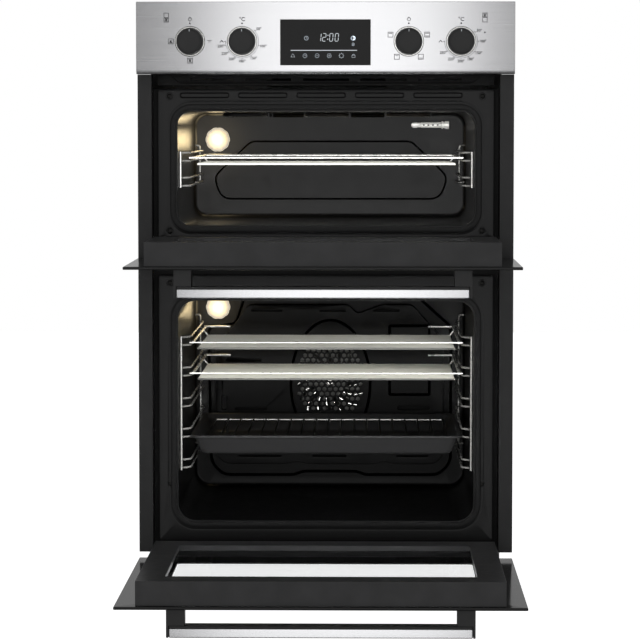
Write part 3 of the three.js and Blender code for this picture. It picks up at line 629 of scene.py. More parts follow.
def make_casing():
    for side, node in ((-1, "side_panel_left"), (1, "side_panel_right")):
        low, high = LOW[node], HIGH[node]
        face = high.x if side > 0 else low.x
        features = slots(6, 120, 800, 44) + slots(4, 130, 36, 30)
        features += ribs([(-190, 90, z, z + 14) for z in (110, 300, 490, 680)])
        features += ribs([(y, y + 14, 120, 700) for y in (150, 215)])
        outline = rounded_outline(low.y, high.y, low.z, high.z, 2.0, 3)
        place = lambda u, v, h, x=face, s=side: Vector((x + s * h, u, v))
        panel(node, outline, features, place, (-side * THICKNESS, 0, 0))

    low, high = LOW["back_cover"], HIGH["back_cover"]
    features = slots(8, -59.5, 640, 70) + slots(6, -43.5, 120, 60)
    features.append(feature(rounded_outline(149, 251, 799, 861, 2, 3), [(0.2, -0.8)], hole=True))
    features += ribs([(-220, -206, 90, 780), (206, 220, 90, 740)])
    features += ribs([(-150, 150, z, z + 14) for z in (230, 560, 740)])
    boss = feature(circle_outline(0, 400, 60, 40), ramp(4, -2, 4))
    features.append(feature(circle_outline(0, 400, 92, 48), ramp(6, -4, 4), inner=[boss]))
    outline = rounded_outline(low.x, high.x, low.z, high.z, 3, 3)
    place = lambda u, v, h, y=high.y - HEAD: Vector((u, y + h, v))
    panel("back_cover", outline, features, place, (0, -THICKNESS, 0))

    low, high = LOW["top_cover"], HIGH["top_cover"]
    features = slots(8, -59.5, 170, 50)
    features += ribs([(-200, 200, y, y + 16) for y in (-190, -80, 30)])
    features += ribs([(x, x + 16, -200, 220) for x in (-240, 224)])
    outline = rounded_outline(low.x, high.x, low.y, high.y, 3, 3)
    place = lambda u, v, h, z=high.z: Vector((u, v, z + h))
    lip = ((-276, low.y, high.z - 12), (276, low.y + 1.4, high.z - 1.3))
    panel("top_cover", outline, features, place, (0, 0, -THICKNESS), [(0.0, -0.3)], lip)

    rounded_copy("base_panel", ZINC, 0.4)
    # The frame's paint is near-black as painted shade in the channels beside the trims.
    rounded_copy("front_frame", FRAME_PAINTED_SHADE, 0.4)
    for node in ("trim_left", "trim_right"):
        rounded_copy(node, TRIM_PAINT, 0.5)


def make_terminal():
    rounded_copy("terminal_box", PLASTIC, 0.8)
    points = [(x, HIGH["terminal_box"].y - 37.0, 844) for x in (176, 200, 224)]
    screws("terminal_screws", points, (0, 1, 0), 4.2, "terminal_box")


def make_casing_screws():
    """Screws along the edges of the casing."""
    y = HIGH["back_cover"].y - HEAD
    points = [(x, y, z) for x in (-270, 270) for z in (20, 230, 440, 650, 866)]
    points += [(x, y, 876) for x in (-120, 0, 120)]
    screws("back_cover_screws", points, (0, 1, 0), 3.6, "back_cover")
    for side, node in ((-1, "side_panel_left"), (1, "side_panel_right")):
        points = [(side * 278.0, y, z) for y in (-232, 262) for z in (24, 300, 600, 860)]
        screws(node + "_screws", points, (side, 0, 0), 3.4, node)
    points = [(x, y, HIGH["top_cover"].z) for x in (-262, 262) for y in (-240, 0, 255)]
    screws("top_cover_screws", points, (0, 0, 1), 3.4, "top_cover")


# ---- Mouths: window is how far a door's window reaches from the hinge ----
MOUTHS = {
    "upper": {"low": 536.0, "high": 716.5, "radius": 22.0, "lamp": 670.0, "hinge": 493.5, "window": 222.0},
    "lower": {"low": 64.0, "high": 416.0, "radius": 28.0, "lamp": 378.5, "hinge": 15.5, "window": 400.0},
}
MOUTH_HALF = 235.5
LAMP_X = -194.5
BACK_WALL = 190.0


def mouth_outline(level, grow=0.0):
    """The rounded rectangle of a mouth, grown outwards."""
    mouth = MOUTHS[level]
    half = MOUTH_HALF + grow
    return rounded_outline(-half, half, mouth["low"] - grow, mouth["high"] + grow, mouth["radius"] + grow, 10)


def make_face_plate(level):
    """An enamelled plate around a mouth, dished at its screws; the upper one also has five flutes."""
    node = level + "_face_plate"
    low, high = LOW[node], HIGH[node]
    dip = [(0.8, -0.5), (1.6, -0.7), (2.4, -0.5), (3.2, 0.0)]
    lip = [(14.5, 0.0), (15.6, -0.3), (16.0, -1.4), (16.0, -4.4)]
    features = [feature(mouth_outline(level, 16.0), dip + lip, hole=True)]
    heights = (high.z - 12, low.z + 90)
    if level == "upper":
        heights = (low.z + 10.3, high.z - 10.2)
        for centre in (-192.5, -100, -7.5, 85, 177.5):
            outline = rounded_outline(centre - 39.5, centre + 39.5, 737.5, 747, 4.6)
            features.append(feature(outline, ramp(2.4, -3.0)))
    holes = [(side * 248.0, z) for z in heights for side in (-1, 1)]
    for u, v in holes:
        features.append(feature(circle_outline(u, v, 6.4, 28), ramp(1.6, -0.9)))
    bm = bmesh.new()
    edge = 1.2
    outline = rounded_outline(low.x + edge, high.x - edge, low.z + edge, high.z - edge, 3.0, 4)
    sheet(bm, outline, features, front_plane(low.y), [(0.7, -0.25), (1.1, -0.8), (edge, -4.6)])
    thicken(bm, lambda vertex: (0, 0.35, 0))
    piece(node + "_sheet", bm, FACE_ENAMEL, node, (node,))
    points = [(u, low.y + 1.0, v) for u, v in holes]
    screws(node + "_screws", points, (0, -1, 0), 3.9, node, SCREW_METAL)


def make_seal(level):
    """A soft round gasket on a flat foot, following the mouth."""
    node = level + "_door_seal"
    middle, half, rise, steps = 7.0, 4.8, 3.0, 10
    bm = bmesh.new()
    rings = []
    for i in range(steps + 1):
        angle = math.pi * i / steps
        outline = mouth_outline(level, middle + half * math.cos(angle))
        rings.append(ring_of(bm, front_plane(HIGH[node].y), outline, rise * math.sin(angle) ** 0.8))
    loft(bm, rings + rings[:1])
    piece(node + "_tube", bm, GASKET, node, (node,))


def make_cavity(level, back_features, enamel):
    """An enamelled box open at the front, with pressed shapes in its back wall and a hole for the lamp."""
    node = level + "_cavity"
    fillet = 6.0
    bm = bmesh.new()
    sections = [(0.0, LOW[node].y)]
    for angle in (math.radians(22.5 * i) for i in range(5)):
        sections.append((-fillet * (1 - math.cos(angle)), BACK_WALL - fillet + fillet * math.sin(angle)))
    rings = [ring_of(bm, front_plane(y), mouth_outline(level, grow)) for grow, y in sections]
    loft(bm, rings)
    lamp = feature(circle_outline(LAMP_X, MOUTHS[level]["lamp"], 15.5), [(0.0, -1.0)], hole=True)
    press(bm, rings[-1], [lamp] + back_features, front_plane(BACK_WALL))
    bmesh.ops.recalc_face_normals(bm, faces=bm.faces)
    lowest = min(bm.faces, key=lambda face: face.calc_center_median().z)
    outward = 1.0 if lowest.normal.z < 0 else -1.0
    bmesh.ops.remove_doubles(bm, verts=bm.verts, dist=1e-6)
    bm.normal_update()
    thicken(bm, lambda vertex: vertex.normal * outward * THICKNESS)
    piece(node + "_shell", bm, enamel, node, (node,), 40)


def make_upper_cavity():
    """The back wall has one shallow raised shape."""
    corners = [(-190, 565.4, 22), (193, 565.4, 22), (207, 606, 14)]
    corners += [(142.5, 668.6, 9), (-137.4, 668.5, 9), (-203, 606, 14)]
    make_cavity("upper", [feature(smooth_outline(corners, 6), groove(3.4, 4.0, 1.5))], UPPER_ENAMEL_PAINTED_LIGHT)


def make_lower_cavity():
    """The back wall steps out around the fan cover, with a hump under it."""
    corners = [(-188, 81.5, 24), (-62, 81.5, 5), (-46, 87.7, 5), (46, 87.7, 5), (62, 81.8, 5)]
    corners += [(192, 81.8, 24), (214, 105, 24), (214, 345, 12), (155, 399, 10), (-150, 399, 10)]
    corners += [(-165, 352, 6), (-214, 345, 12), (-210, 105, 24)]
    shaft = feature(circle_outline(0, 247, 6, 20), [(0.0, -1.0)], hole=True)
    features = [feature(smooth_outline(corners, 5), groove(5.2, 9.0), inner=[shaft])]
    make_cavity("lower", features, LOWER_ENAMEL_PAINTED_SHADE)


def make_lamp(level):
    """A fluted glass dome."""
    node = level + "_lamp_cover"
    flutes = 10
    profile = [(0.0, 0.0), (7.5, 0.5), (13.5, 2.2), (18.0, 5.2), (20.4, 8.8), (20.9, 12.5), (20.6, 16.6)]
    strength = [0.0, 0.01, 0.03, 0.045, 0.05, 0.045, 0.03]
    tube = [(14.0, 17.0), (14.0, 31.0), (12.2, 31.0), (12.0, 7.0), (0.0, 4.2)]
    strength += [0.0] * len(tube)

    def flute(angle, index):
        return 1.0 + strength[index] * (abs(math.cos(flutes * angle / 2)) - 0.6)

    bm = bmesh.new()
    lathe(bm, profile + tube, (LAMP_X, LOW[node].y, MOUTHS[level]["lamp"]), "Y", 80, flute)
    piece(node + "_glass", bm, LAMP, node, (node,), 50)


def make_sensor():
    """A capillary probe in its clips: a domed tube with a slotted sleeve and a cap."""
    node = "temperature_sensor"
    y = LOW[node].y + 7.5
    z = 695.2
    tip = [(0.0, 141.0), (2.6, 141.4), (4.4, 143.0), (5.0, 145.5), (5.0, 151.0), (4.2, 152.0)]
    sleeve = [(4.2, 158.0), (5.0, 159.0), (5.0, 193.0), (6.6, 193.6), (7.0, 194.6), (7.0, 196.6)]
    cap = [(5.4, 197.0), (5.4, 198.6), (7.2, 199.2), (7.3, 206.2), (6.6, 207.0), (2.2, 207.0)]
    cap += [(2.2, 204.5), (0.0, 204.5)]
    bm = bmesh.new()
    lathe(bm, tip + sleeve + cap, (0, y, z), "X", 36)
    for x in (152.5, 200.5):
        block(bm, (x - 2, y + 3, z - 3), (x + 2, 189.4, z + 3), 0.4)
    piece("sensor_probe", bm, PROBE_METAL, node, (node,))
    # The slots are not cut: thin dark blocks on the sleeve paint the shade inside them.
    bm = bmesh.new()
    for x in (163.0, 171.0, 179.0, 187.0):
        block(bm, (x - 1.6, y - 5.15, z - 1.1), (x + 1.6, y - 4.4, z + 1.1), 0.3)
    piece("sensor_slots_painted_shade", bm, SLOT_PAINTED_SHADE, node)


def make_grill_element():
    """A sheathed heater that runs to and fro under the ceiling, held by clips."""
    node = "grill_element"
    z = (LOW[node].z + HIGH[node].z) / 2
    legs = [-165, -99, -33, 33, 99, 165]
    path = []
    for i, x in enumerate(legs):
        run = [(x, 150, z), (x, -190, z)]
        path += run[::-1] if i % 2 else run
    path[0] = (legs[0], 189, z)
    path[-1] = (legs[-1], 189, z)
    bm = bmesh.new()
    wire(bm, path, 3.2, 26, sides=14, steps=8)
    piece("grill_element_tube", bm, ELEMENT, node, (node,))
    bm = bmesh.new()
    for x in legs:
        for y in (-120, 60):
            block(bm, (x - 5, y - 1, z - 4), (x + 5, y + 1, z + 4.4), 0.4)
    piece("grill_element_clips", bm, UPPER_ENAMEL_PAINTED_LIGHT, node)


# ---- Fan and its cover ----
def honeycomb(centre_u, centre_v, half_u, half_v, pitch, radius):
    """Hexagonal holes in staggered rows that fill a rectangle with cut corners."""
    holes = []
    rows = int(half_v / (pitch * 0.866))
    columns = int(half_u / pitch) + 1
    for row in range(-rows, rows + 1):
        for column in range(-columns, columns + 1):
            u = (column + (0.5 if row % 2 else 0.0)) * pitch
            v = row * pitch * 0.866
            if abs(u) < half_u - radius and abs(u) + abs(v) < 0.8 * (half_u + half_v):
                outline = circle_outline(centre_u + u, centre_v + v, radius, 6, 30.0)
                holes.append(feature(outline, [(0.25, -0.25), (0.3, -1.0)], hole=True))
    return holes


def make_fan_cover():
    """A pressed sheet with a perforated ring, long slots, a hook-shaped cut and two stamped squares."""
    node = "fan_cover"
    corners = [(-181, 106, 14), (-76, 105.5, 8), (-56.6, 110.5, 7), (-38, 105.5, 8), (78, 105.5, 8)]
    corners += [(96.8, 110.5, 7), (113, 105.5, 8), (184, 106, 14), (198, 121, 14), (198, 322, 12)]
    corners += [(144, 384, 9), (91, 384, 8), (48, 368, 8), (33, 384, 6), (-141, 384, 9)]
    corners += [(-172, 340, 9), (-198, 318, 12), (-198, 121, 14)]
    ring = [(1.8 + u * 71.5, 247.5 + v * 112) for u, v in circle_outline(0, 0, 1, 64)]
    comb = honeycomb(1.0, 253.6, 57.5, 55.0, 9.7, 4.1)
    features = [feature(ring, groove(5.0, 9.0), inner=comb)]
    long_slots = [(-136, -81, 371.5, 376), (-18, 29, 371.5, 375.5), (75, 122, 371.5, 375.5)]
    long_slots += [(-160, -83, 118, 122), (-30, 30, 118, 122), (116, 172, 118, 122)]
    long_slots += [(-165, -108, 199, 205), (118, 176, 200, 209)]
    for u0, u1, v0, v1 in long_slots:
        outline = rounded_outline(u0, u1, v0, v1, (v1 - v0) * 0.48, 5)
        features.append(feature(outline, [(0.4, -0.2), (0.6, -1.6)], hole=True))
    hook = [(-187, 284, 3), (-118, 284, 3), (-118, 292, 4), (-180, 292, 3), (-180, 262, 3), (-187, 262, 3)]
    features.append(feature(smooth_outline(hook, 3), [(0.5, -0.3), (0.7, -2.4)], hole=True))
    features.append(feature(rounded_outline(-188, -178, 200, 226, 3, 3), ramp(1.2, -4.0)))
    for v0, v1 in ((318, 350), (225, 268)):
        features.append(feature(rounded_outline(102, 176, v0, v1, 5, 4), groove(5.0, 9.0)))
    bm = bmesh.new()
    outline = inset(smooth_outline(corners), 1.0)
    sheet(bm, outline, features, front_plane(LOW[node].y), [(0.6, -0.3), (1.0, -1.2), (1.0, -24.4)])
    thicken(bm, lambda vertex: (0, 0.8, 0))
    piece("fan_cover_sheet", bm, LOWER_ENAMEL_PAINTED_SHADE, node, (node,))


def fan_blade():
    """A bent blade that runs out from the hub along X; its rim side leans."""
    blade = bmesh.new()
    rings = []
    for t in (k / 6 for k in range(7)):
        radius = 27 + 41 * t
        lean = 0.28 * t * t
        x, z = radius * math.cos(lean), radius * math.sin(lean)
        top = -12.6 + 3.0 * (1 - t)
        section = [(top, z - 6.0), (top, z - 5.3), (-0.6, z + 0.7), (-0.6, z)]
        rings.append([blade.verts.new(Vector((x, y, v)) * MM) for y, v in section])
    loft(blade, rings)
    blade.faces.new(rings[0])
    blade.faces.new(rings[-1])
    return blade


def make_fan():
    """A wheel of bent blades on a disc, with its nut."""
    node = "fan_wheel"
    low, high = LOW[node], HIGH[node]
    centre = Vector((0, low.y + 13, (low.z + high.z) / 2))
    end = high.y - centre.y
    bm = bmesh.new()
    plate = [(0, -1.4), (22, -1.4), (24, -0.8), (69.0, -0.8), (70.0, -0.1), (69.0, 0.6), (0, 0.6)]
    lathe(bm, plate, centre, "Y", 64)
    piece("fan_wheel_disc", bm, DISC_METAL, node, (node,))
    bm = bmesh.new()
    hub = [(0, -13), (3.0, -13), (3.5, -12.5), (3.5, -8), (8, -7.6), (9.5, -6.5), (9.5, -1.2)]
    lathe(bm, hub, centre, "Y", 36)
    lathe(bm, [(3.5, 0.5), (3.5, end - 0.5), (3.0, end), (0, end)], centre, "Y", 24)
    blades = 16
    for i in range(blades):
        turn = Matrix.Rotation(2 * math.pi * i / blades, 4, "Y")
        merge(bm, fan_blade(), Matrix.Translation(centre * MM) @ turn)
    piece("fan_wheel_blades", bm, FAN_METAL, node)


def make_ring_element():
    """A heater bent around the fan, open at the bottom."""
    node = "ring_element"
    low, high = LOW[node], HIGH[node]
    radius = (high.x - low.x) / 2 - 3.4
    path = [(low + high) / 2 + Vector((u, 0, v)) for u, v in arc(0, 0, radius, -78, 258, 64)]
    bm = bmesh.new()
    sweep(bm, path, 3.2)
    piece("ring_element_tube", bm, ELEMENT, node, (node,))


# ---- Control panel ----
KNOBS = {
    "left_function_knob": -212.4,
    "left_temperature_knob": -130.6,
    "right_function_knob": 130.6,
    "right_temperature_knob": 212.4,
}
KNOB_Z = 826.0
PANEL_Y = -294.7
DISPLAY_Y = -295.2
INK = 0.03


def make_knob(node, x):
    """A turned knob with a pointer; the ring and the dark ring of painted shadow around it belong to the
    panel.
    """
    face = LOW[node].y
    foot = -295.9 - face
    end = HIGH[node].y - face
    profile = [(0.0, 0.9), (15.5, 0.8), (17.0, 0.45), (18.0, 0.1), (18.9, 0.2), (19.5, 0.9), (19.9, 2.2)]
    profile += [(20.7, foot - 4.0), (21.1, foot - 2.0), (21.1, foot - 0.4), (20.6, foot)]
    profile += [(3.0, foot), (3.0, end), (0.0, end)]
    bm = bmesh.new()
    lathe(bm, profile, (x, face, KNOB_Z), "Y", 72)
    piece(node + "_body", bm, KNOB_PLASTIC, node, (node,), 28)
    bm = bmesh.new()
    # The printed pointer uses the glowing symbol material, so it glows as painted light.
    block(bm, (x - 0.5, face + 0.02, KNOB_Z + 15.0), (x + 0.5, face + 0.95, KNOB_Z + 18.6), 0.1)
    piece(node + "_pointer", bm, SYMBOLS, node)
    ring = [(21.7, -0.05), (21.7, -1.5), (21.9, -1.8), (22.5, -1.8), (22.8, -1.5), (22.8, -0.05)]
    # A thin dark ring around the bright ring: painted shadow on the panel.
    seat = [(22.9, -0.05), (22.9, -0.5), (23.6, -0.4), (23.7, -0.05)]
    parts = [("_ring", ring, RING_METAL, "chrome_wire"), ("_painted_shadow_ring", seat, PANEL_PRINT, "black_plastic")]
    for part, outline, material, slot in parts:
        bm = bmesh.new()
        lathe(bm, outline + outline[:1], (x, PANEL_Y, KNOB_Z), "Y", 72)
        piece(node + part, bm, material, "control_panel")


class Print:
    """Flat marks that face the front, in (x, z), a little in front of a surface at y."""

    def __init__(self, y):
        self.bm = bmesh.new()
        self.y = y - INK

    def plate(self, outline):
        rings = [ring_of(self.bm, front_plane(self.y), outline, height) for height in (INK, -INK)]
        self.bm.faces.new(rings[0])
        self.bm.faces.new(rings[1][::-1])
        loft(self.bm, rings)

    def dot(self, x, z, radius):
        self.plate(circle_outline(x, z, radius, 20))

    def line(self, points, width):
        """A line of even width through points."""
        for a, b in zip(points, points[1:]):
            a, b = Vector(a), Vector(b)
            if (b - a).length < 1e-6:
                continue
            along = (b - a).normalized() * width / 2
            side = Vector((-along.y, along.x))
            self.plate([a - along - side, b + along - side, b + along + side, a - along + side])

    def loop(self, points, width):
        self.line(points + points[:1], width)

    def cross(self, x, z, reach, width, turns):
        """Strokes through a point, one for each angle in degrees."""
        for turn in turns:
            self.line(arc(x, z, reach, turn + 180, turn, 1), width)

    def words(self, text, size, x, z):
        """Lettering centred on a point."""
        curve = bpy.data.curves.new("words", "FONT")
        curve.body = text
        curve.size = size * MM
        curve.align_x = "CENTER"
        curve.align_y = "CENTER"
        curve.extrude = INK * MM
        curve.offset = 0.14 * MM
        curve.resolution_u = 3
        shown = bpy.data.objects.new("words", curve)
        bpy.context.scene.collection.objects.link(shown)
        bpy.context.view_layer.update()
        mesh = bpy.data.meshes.new_from_object(shown.evaluated_get(bpy.context.evaluated_depsgraph_get()))
        mesh.transform(Matrix.Translation(Vector((x, self.y, z)) * MM) @ Matrix.Rotation(math.pi / 2, 4, "X"))
        self.bm.from_mesh(mesh)
        bpy.data.objects.remove(shown)
        bpy.data.curves.remove(curve)
        bpy.data.meshes.remove(mesh)

    def mode(self, x, z, size, marks):
        """A cooking-mode symbol: a square with heater strokes inside."""
        half = size / 2
        self.loop(circle_outline(x, z, half * math.sqrt(2), 4, 45), 0.85)
        for kind in marks:
            if kind in ("top", "bottom"):
                level = z + half * (0.55 if kind == "top" else -0.55)
                self.line([(x - half * 0.6, level), (x + half * 0.6, level)], 1.0)
            if kind == "grill":
                heights = (0.62, 0.3, 0.62, 0.3, 0.62)
                zigzag = [(x + half * (0.28 * k - 0.55), z + half * v) for k, v in enumerate(heights)]
                self.line(zigzag, 0.7)
            if kind == "fan":
                self.cross(x, z, half * 0.42, 0.7, (0, 45, 90, 135))


def beside(x, degrees, radius):
    """A point beside a knob, at an angle clockwise from the top."""
    angle = math.radians(degrees)
    return x + radius * math.sin(angle), KNOB_Z + radius * math.cos(angle)


# Degrees Celsius and the angle of each mark on the dials of the two temperature knobs.
SCALES = {
    "left_temperature_knob": {50: 51, 100: 104, 150: 148, 180: 180, 200: 207, 220: 232, 250: 256},
    "right_temperature_knob": {50: 57, 100: 90, 150: 126, 180: 154, 200: 180, 220: 206, 250: 235},
}


def make_dial_print():
    """The scales, symbols and dots around the knobs, and the mode squares in the panel's corners."""
    ticks, tick_ends, middle, figures, top = 25.9, 27.6, 31.0, 34.0, KNOB_Z + 34.6
    ink = Print(PANEL_Y)
    for node, marks in SCALES.items():
        x = KNOBS[node]
        for number, angle in marks.items():
            u, v = beside(x, angle, figures)
            ink.words(str(number) + "°", 6.0, u, KNOB_Z + (v - KNOB_Z) * 0.91)
        start = marks[50] - 6
        ink.line([beside(x, start + (272 - start) * i / 40, ticks) for i in range(41)], 0.5)
        for angle in [*marks.values(), 270]:
            ink.line([beside(x, angle, ticks), beside(x, angle, tick_ends)], 0.8)
        u, v = beside(x, 270, middle)
        ink.line([(u - 3.4, v - 1.2), (u - 1.0, v + 1.6), (u + 1.4, v - 1.2)], 1.0)
        ink.words("°C", 8.6, x, top - 0.2)
    for x in KNOBS.values():
        ink.dot(x, KNOB_Z + 28.2, 1.3)
    left, right = KNOBS["left_function_knob"], KNOBS["right_function_knob"]
    for x in (left, right):
        ink.loop(circle_outline(x, top, 2.6, 16), 0.8)
        ink.line([(x, top), (x, top + 3.4)], 0.8)
    u, v = beside(left, 90, middle)
    ink.line([(u - 3.4, v + 1.4), (u + 3.0, v + 1.4)], 0.8)
    ink.line([(u - 2.4, v - 0.8), (u + 1.2, v - 0.8)], 0.8)
    ink.mode(*beside(left, 180, 30.0), 7.8, ("top", "fan", "bottom"))
    ink.mode(*beside(left, 270, 30.0), 7.8, ("fan", "bottom"))
    for angle, marks in ((70, ("top", "bottom")), (142, ("bottom",)), (218, ("grill",)), (290, ("top",))):
        ink.mode(*beside(right, angle, 30.5), 7.8, marks)
    for side, lit_row in ((-1, 1), (1, 0)):
        for row in (0, 1):
            marks = ("top", "bottom", "fan") if row == lit_row else ()
            ink.mode(side * 249.5, 866.8 - row * 7.2, 7.0, marks)
    ink.dot(249.5, 840.0, 1.2)
    piece("dial_print", ink.bm, PANEL_PRINT, "control_panel")


# The ends of a digit's segments, in halves of its width and height, and the segments of each figure.
SEGMENTS = {
    "a": ((-1, 1), (1, 1)),
    "b": ((1, 1), (1, 0)),
    "c": ((1, 0), (1, -1)),
    "d": ((-1, -1), (1, -1)),
    "e": ((-1, 0), (-1, -1)),
    "f": ((-1, 1), (-1, 0)),
    "g": ((-1, 0), (1, 0)),
}
FIGURES = {"0": "abcdef", "1": "bc", "2": "abged"}
DIGIT_LEAN = 0.08


def draw_digit(ink, figure, x, z):
    """One leaning seven-segment digit."""
    half_width, half_height, gap = 2.5, 6.0, 0.9
    for name in FIGURES[figure]:
        a, b = (Vector((u * half_width, v * half_height)) for u, v in SEGMENTS[name])
        short = (b - a).normalized() * gap
        ink.line([(x + p.x + p.y * DIGIT_LEAN, z + p.y) for p in (a + short, b - short)], 0.85)


def make_display():
    """The display glass with a clock reading, a line and touch symbols."""
    rounded_copy("display_glass", BLACK_GLASS, 0.4)
    ink = Print(DISPLAY_Y)
    for figure, x in (("1", -9.5), ("2", -1.8), ("0", 9.2), ("0", 17.8)):
        draw_digit(ink, figure, x, 832.3)
    for rise in (-3.0, 3.0):
        ink.dot(3.8 + rise * DIGIT_LEAN, 832.3 + rise, 0.8)
    ink.line([(-54.0, 812.0), (49.0, 812.0)], 1.0)
    x, z = 43.5, 831.0
    half_disc = arc(x, z, 3.2, -90, 90, 12)
    for a, b in zip(half_disc, half_disc[1:]):
        ink.line([(x, a[1]), ((a[0] + b[0]) / 2, (a[1] + b[1]) / 2)], 0.6)
    ink.loop(circle_outline(x, z, 3.2, 24), 0.5)
    piece("display_digits", ink.bm, DIGITS, "display_glass")

    ink = Print(DISPLAY_Y)
    ink.loop(circle_outline(-30.0, z, 3.0, 24), 0.6)
    ink.line([(-30.0, z + 2.0), (-30.0, z), (-28.4, z)], 0.5)
    ink.loop(rounded_outline(x - 1.7, x + 1.7, 819.2, 823.4, 1.2, 3), 0.5)
    ink.loop(circle_outline(x, 821.2, 0.7, 10), 0.4)
    z = 803.6
    bell_x, clock_x, minus_x, plus_x, sun_x, lock_x = range(-51, 45, 19)
    bell = [(-3.0, -2.0), (-2.0, -1.0), (-1.6, 1.4), (0, 3.0), (1.6, 1.4), (2.0, -1.0), (3.0, -2.0)]
    ink.loop([(bell_x + u, z + v) for u, v in bell], 0.5)
    for x in (clock_x, minus_x, plus_x, sun_x):
        ink.loop(circle_outline(x, z, 3.1, 24), 0.5)
    ink.line([(clock_x, z + 2), (clock_x, z), (clock_x + 1.6, z)], 0.5)
    ink.cross(minus_x, z, 1.6, 0.5, (0,))
    ink.cross(plus_x, z, 1.6, 0.5, (0, 90))
    for turn in range(0, 360, 45):
        ink.line([arc(sun_x, z, reach, turn, turn, 1)[0] for reach in (3.4, 4.2)], 0.5)
    ink.loop(rounded_outline(lock_x - 2.4, lock_x + 2.4, z - 2.8, z + 0.8, 0.4, 2), 0.5)
    ink.line(arc(lock_x, z + 0.8, 1.6, 0, 180, 10), 0.5)
    piece("display_symbols", ink.bm, SYMBOLS, "display_glass")


def make_outlet_grille():
    """A black strip with a shallow trough that holds five air slots; its paint is made near-black as painted
    shade under the panel's overhang.
    """
    node = "air_outlet_grille"
    low, high = LOW[node], HIGH[node]
    half = [(232, low.z + 3.0, 5), (243, high.z - 4.0, 3), (250, high.z - 0.8, 2)]
    trough = [(-half[0][0], *half[0][1:])] + half + [(-u, v, r) for u, v, r in half[:0:-1]]
    cuts = []
    for centre, width in ((0, 74), (-91, 74), (91, 74), (-180.5, 69), (180.5, 69)):
        outline = rounded_outline(centre - width / 2, centre + width / 2, 765.0, 769.4, 1.8, 4)
        cuts.append(feature(outline, [(0.3, -0.3), (0.4, -1.2)], hole=True))
    bm = bmesh.new()
    features = [feature(smooth_outline(trough), ramp(1.6, -1.0), inner=cuts)]
    outline = rounded_outline(low.x + 0.6, high.x - 0.6, low.z + 0.6, high.z - 0.1, 1.5, 3)
    sheet(bm, outline, features, front_plane(low.y), [(0.4, -0.2), (0.6, -0.8)])
    thicken(bm, lambda vertex: (0, 0.8, 0))
    # Near-black paint here is painted shade under the panel's overhang.
    piece(node + "_strip", bm, FRAME_PAINTED_SHADE, node, (node,))


# ---- Wire racks, shelves, pan ----
RAILS = {"upper": [598.1, 638.1], "lower": [144.4, 194, 243.4, 292.9, 342.3]}
PAIR_GAP = 13.0


def make_rack(level, side):
    """Uprights and pairs of runners, welded from round wire."""
    node = f"{level}_rack_" + ("left" if side < 0 else "right")
    rails = RAILS[level]
    wall, rail, rear = side * 232.6, side * 218.4, side * 224.5
    low, top = rails[0] - 2.0, HIGH[node].z - 2.0
    front, bend, straight, back = -222, -203, 150, 168
    bm = bmesh.new()
    wire(bm, [(wall, front, low - 1), (wall, front, rails[-1] + PAIR_GAP + 1.5)], 1.7)
    end = wall + side * 0.5
    wire(bm, [(end, back, low), (rear, back, low), (rear, back, top), (end, back, top)], 1.7, 5.0, steps=5)
    for z in [level_z + rise for level_z in rails for rise in (0.0, PAIR_GAP)]:
        way_in = [(wall, front, z), (wall - side * 2, front + 8, z), (rail, bend, z)]
        wire(bm, way_in + [(rail, straight, z), (rear, back, z)], 1.6, 9.0, steps=5)
    piece(node + "_wire", bm, RACK_WIRE, node, (node,))


def make_shelf(node, rail_z, full_back):
    """A shelf: a thick frame and many thin wires that make a lower floor."""
    frame_radius = 2.8
    z = rail_z + 2.1 + frame_radius
    edge = HIGH[node].x - frame_radius
    front, back = -221.0, 145.0
    first, last = front + 6.0, 66.0
    floor = z - 10.0
    half = 205.5
    bm = bmesh.new()
    wire(bm, [(-edge - 2.4, front, z), (edge + 2.4, front, z)], frame_radius, taper=9.0, sides=16)
    for side in (-1, 1):
        x = side * (edge - 3)
        wire(bm, [(x, front, z), (x, back, z)], 1.9)
        wire(bm, [(x, last - 1, z), (side * half, last - 1, floor)], 1.3)
    if full_back:
        wire(bm, [(-edge, back, z), (edge, back, z)], frame_radius * 0.9)
    else:
        for side in (-1, 1):
            wire(bm, [(side * edge, back, z), (side * (edge - 45), back, z)], 1.9)
    piece(node + "_wire", bm, CHROME, node, (node,))
    bm = bmesh.new()
    count = 64
    for i in range(1, count):
        y = first + (last - first) * i / (count - 1)
        wire(bm, [(-half, y, floor), (half, y, floor)], 1.55, sides=8)
    for x in (-half, -130, 0, 130, half):
        wire(bm, [(x, first + 5, floor - 0.4), (x, last, floor - 0.4)], 1.4)
    piece(node + "_floor", bm, SATIN_WIRE, node)
    bm = bmesh.new()
    wire(bm, [(-half, first, floor), (half, first, floor)], 1.5, sides=8)
    piece(node + "_front_wire", bm, SATIN_WIRE if full_back else DISC_METAL, node)


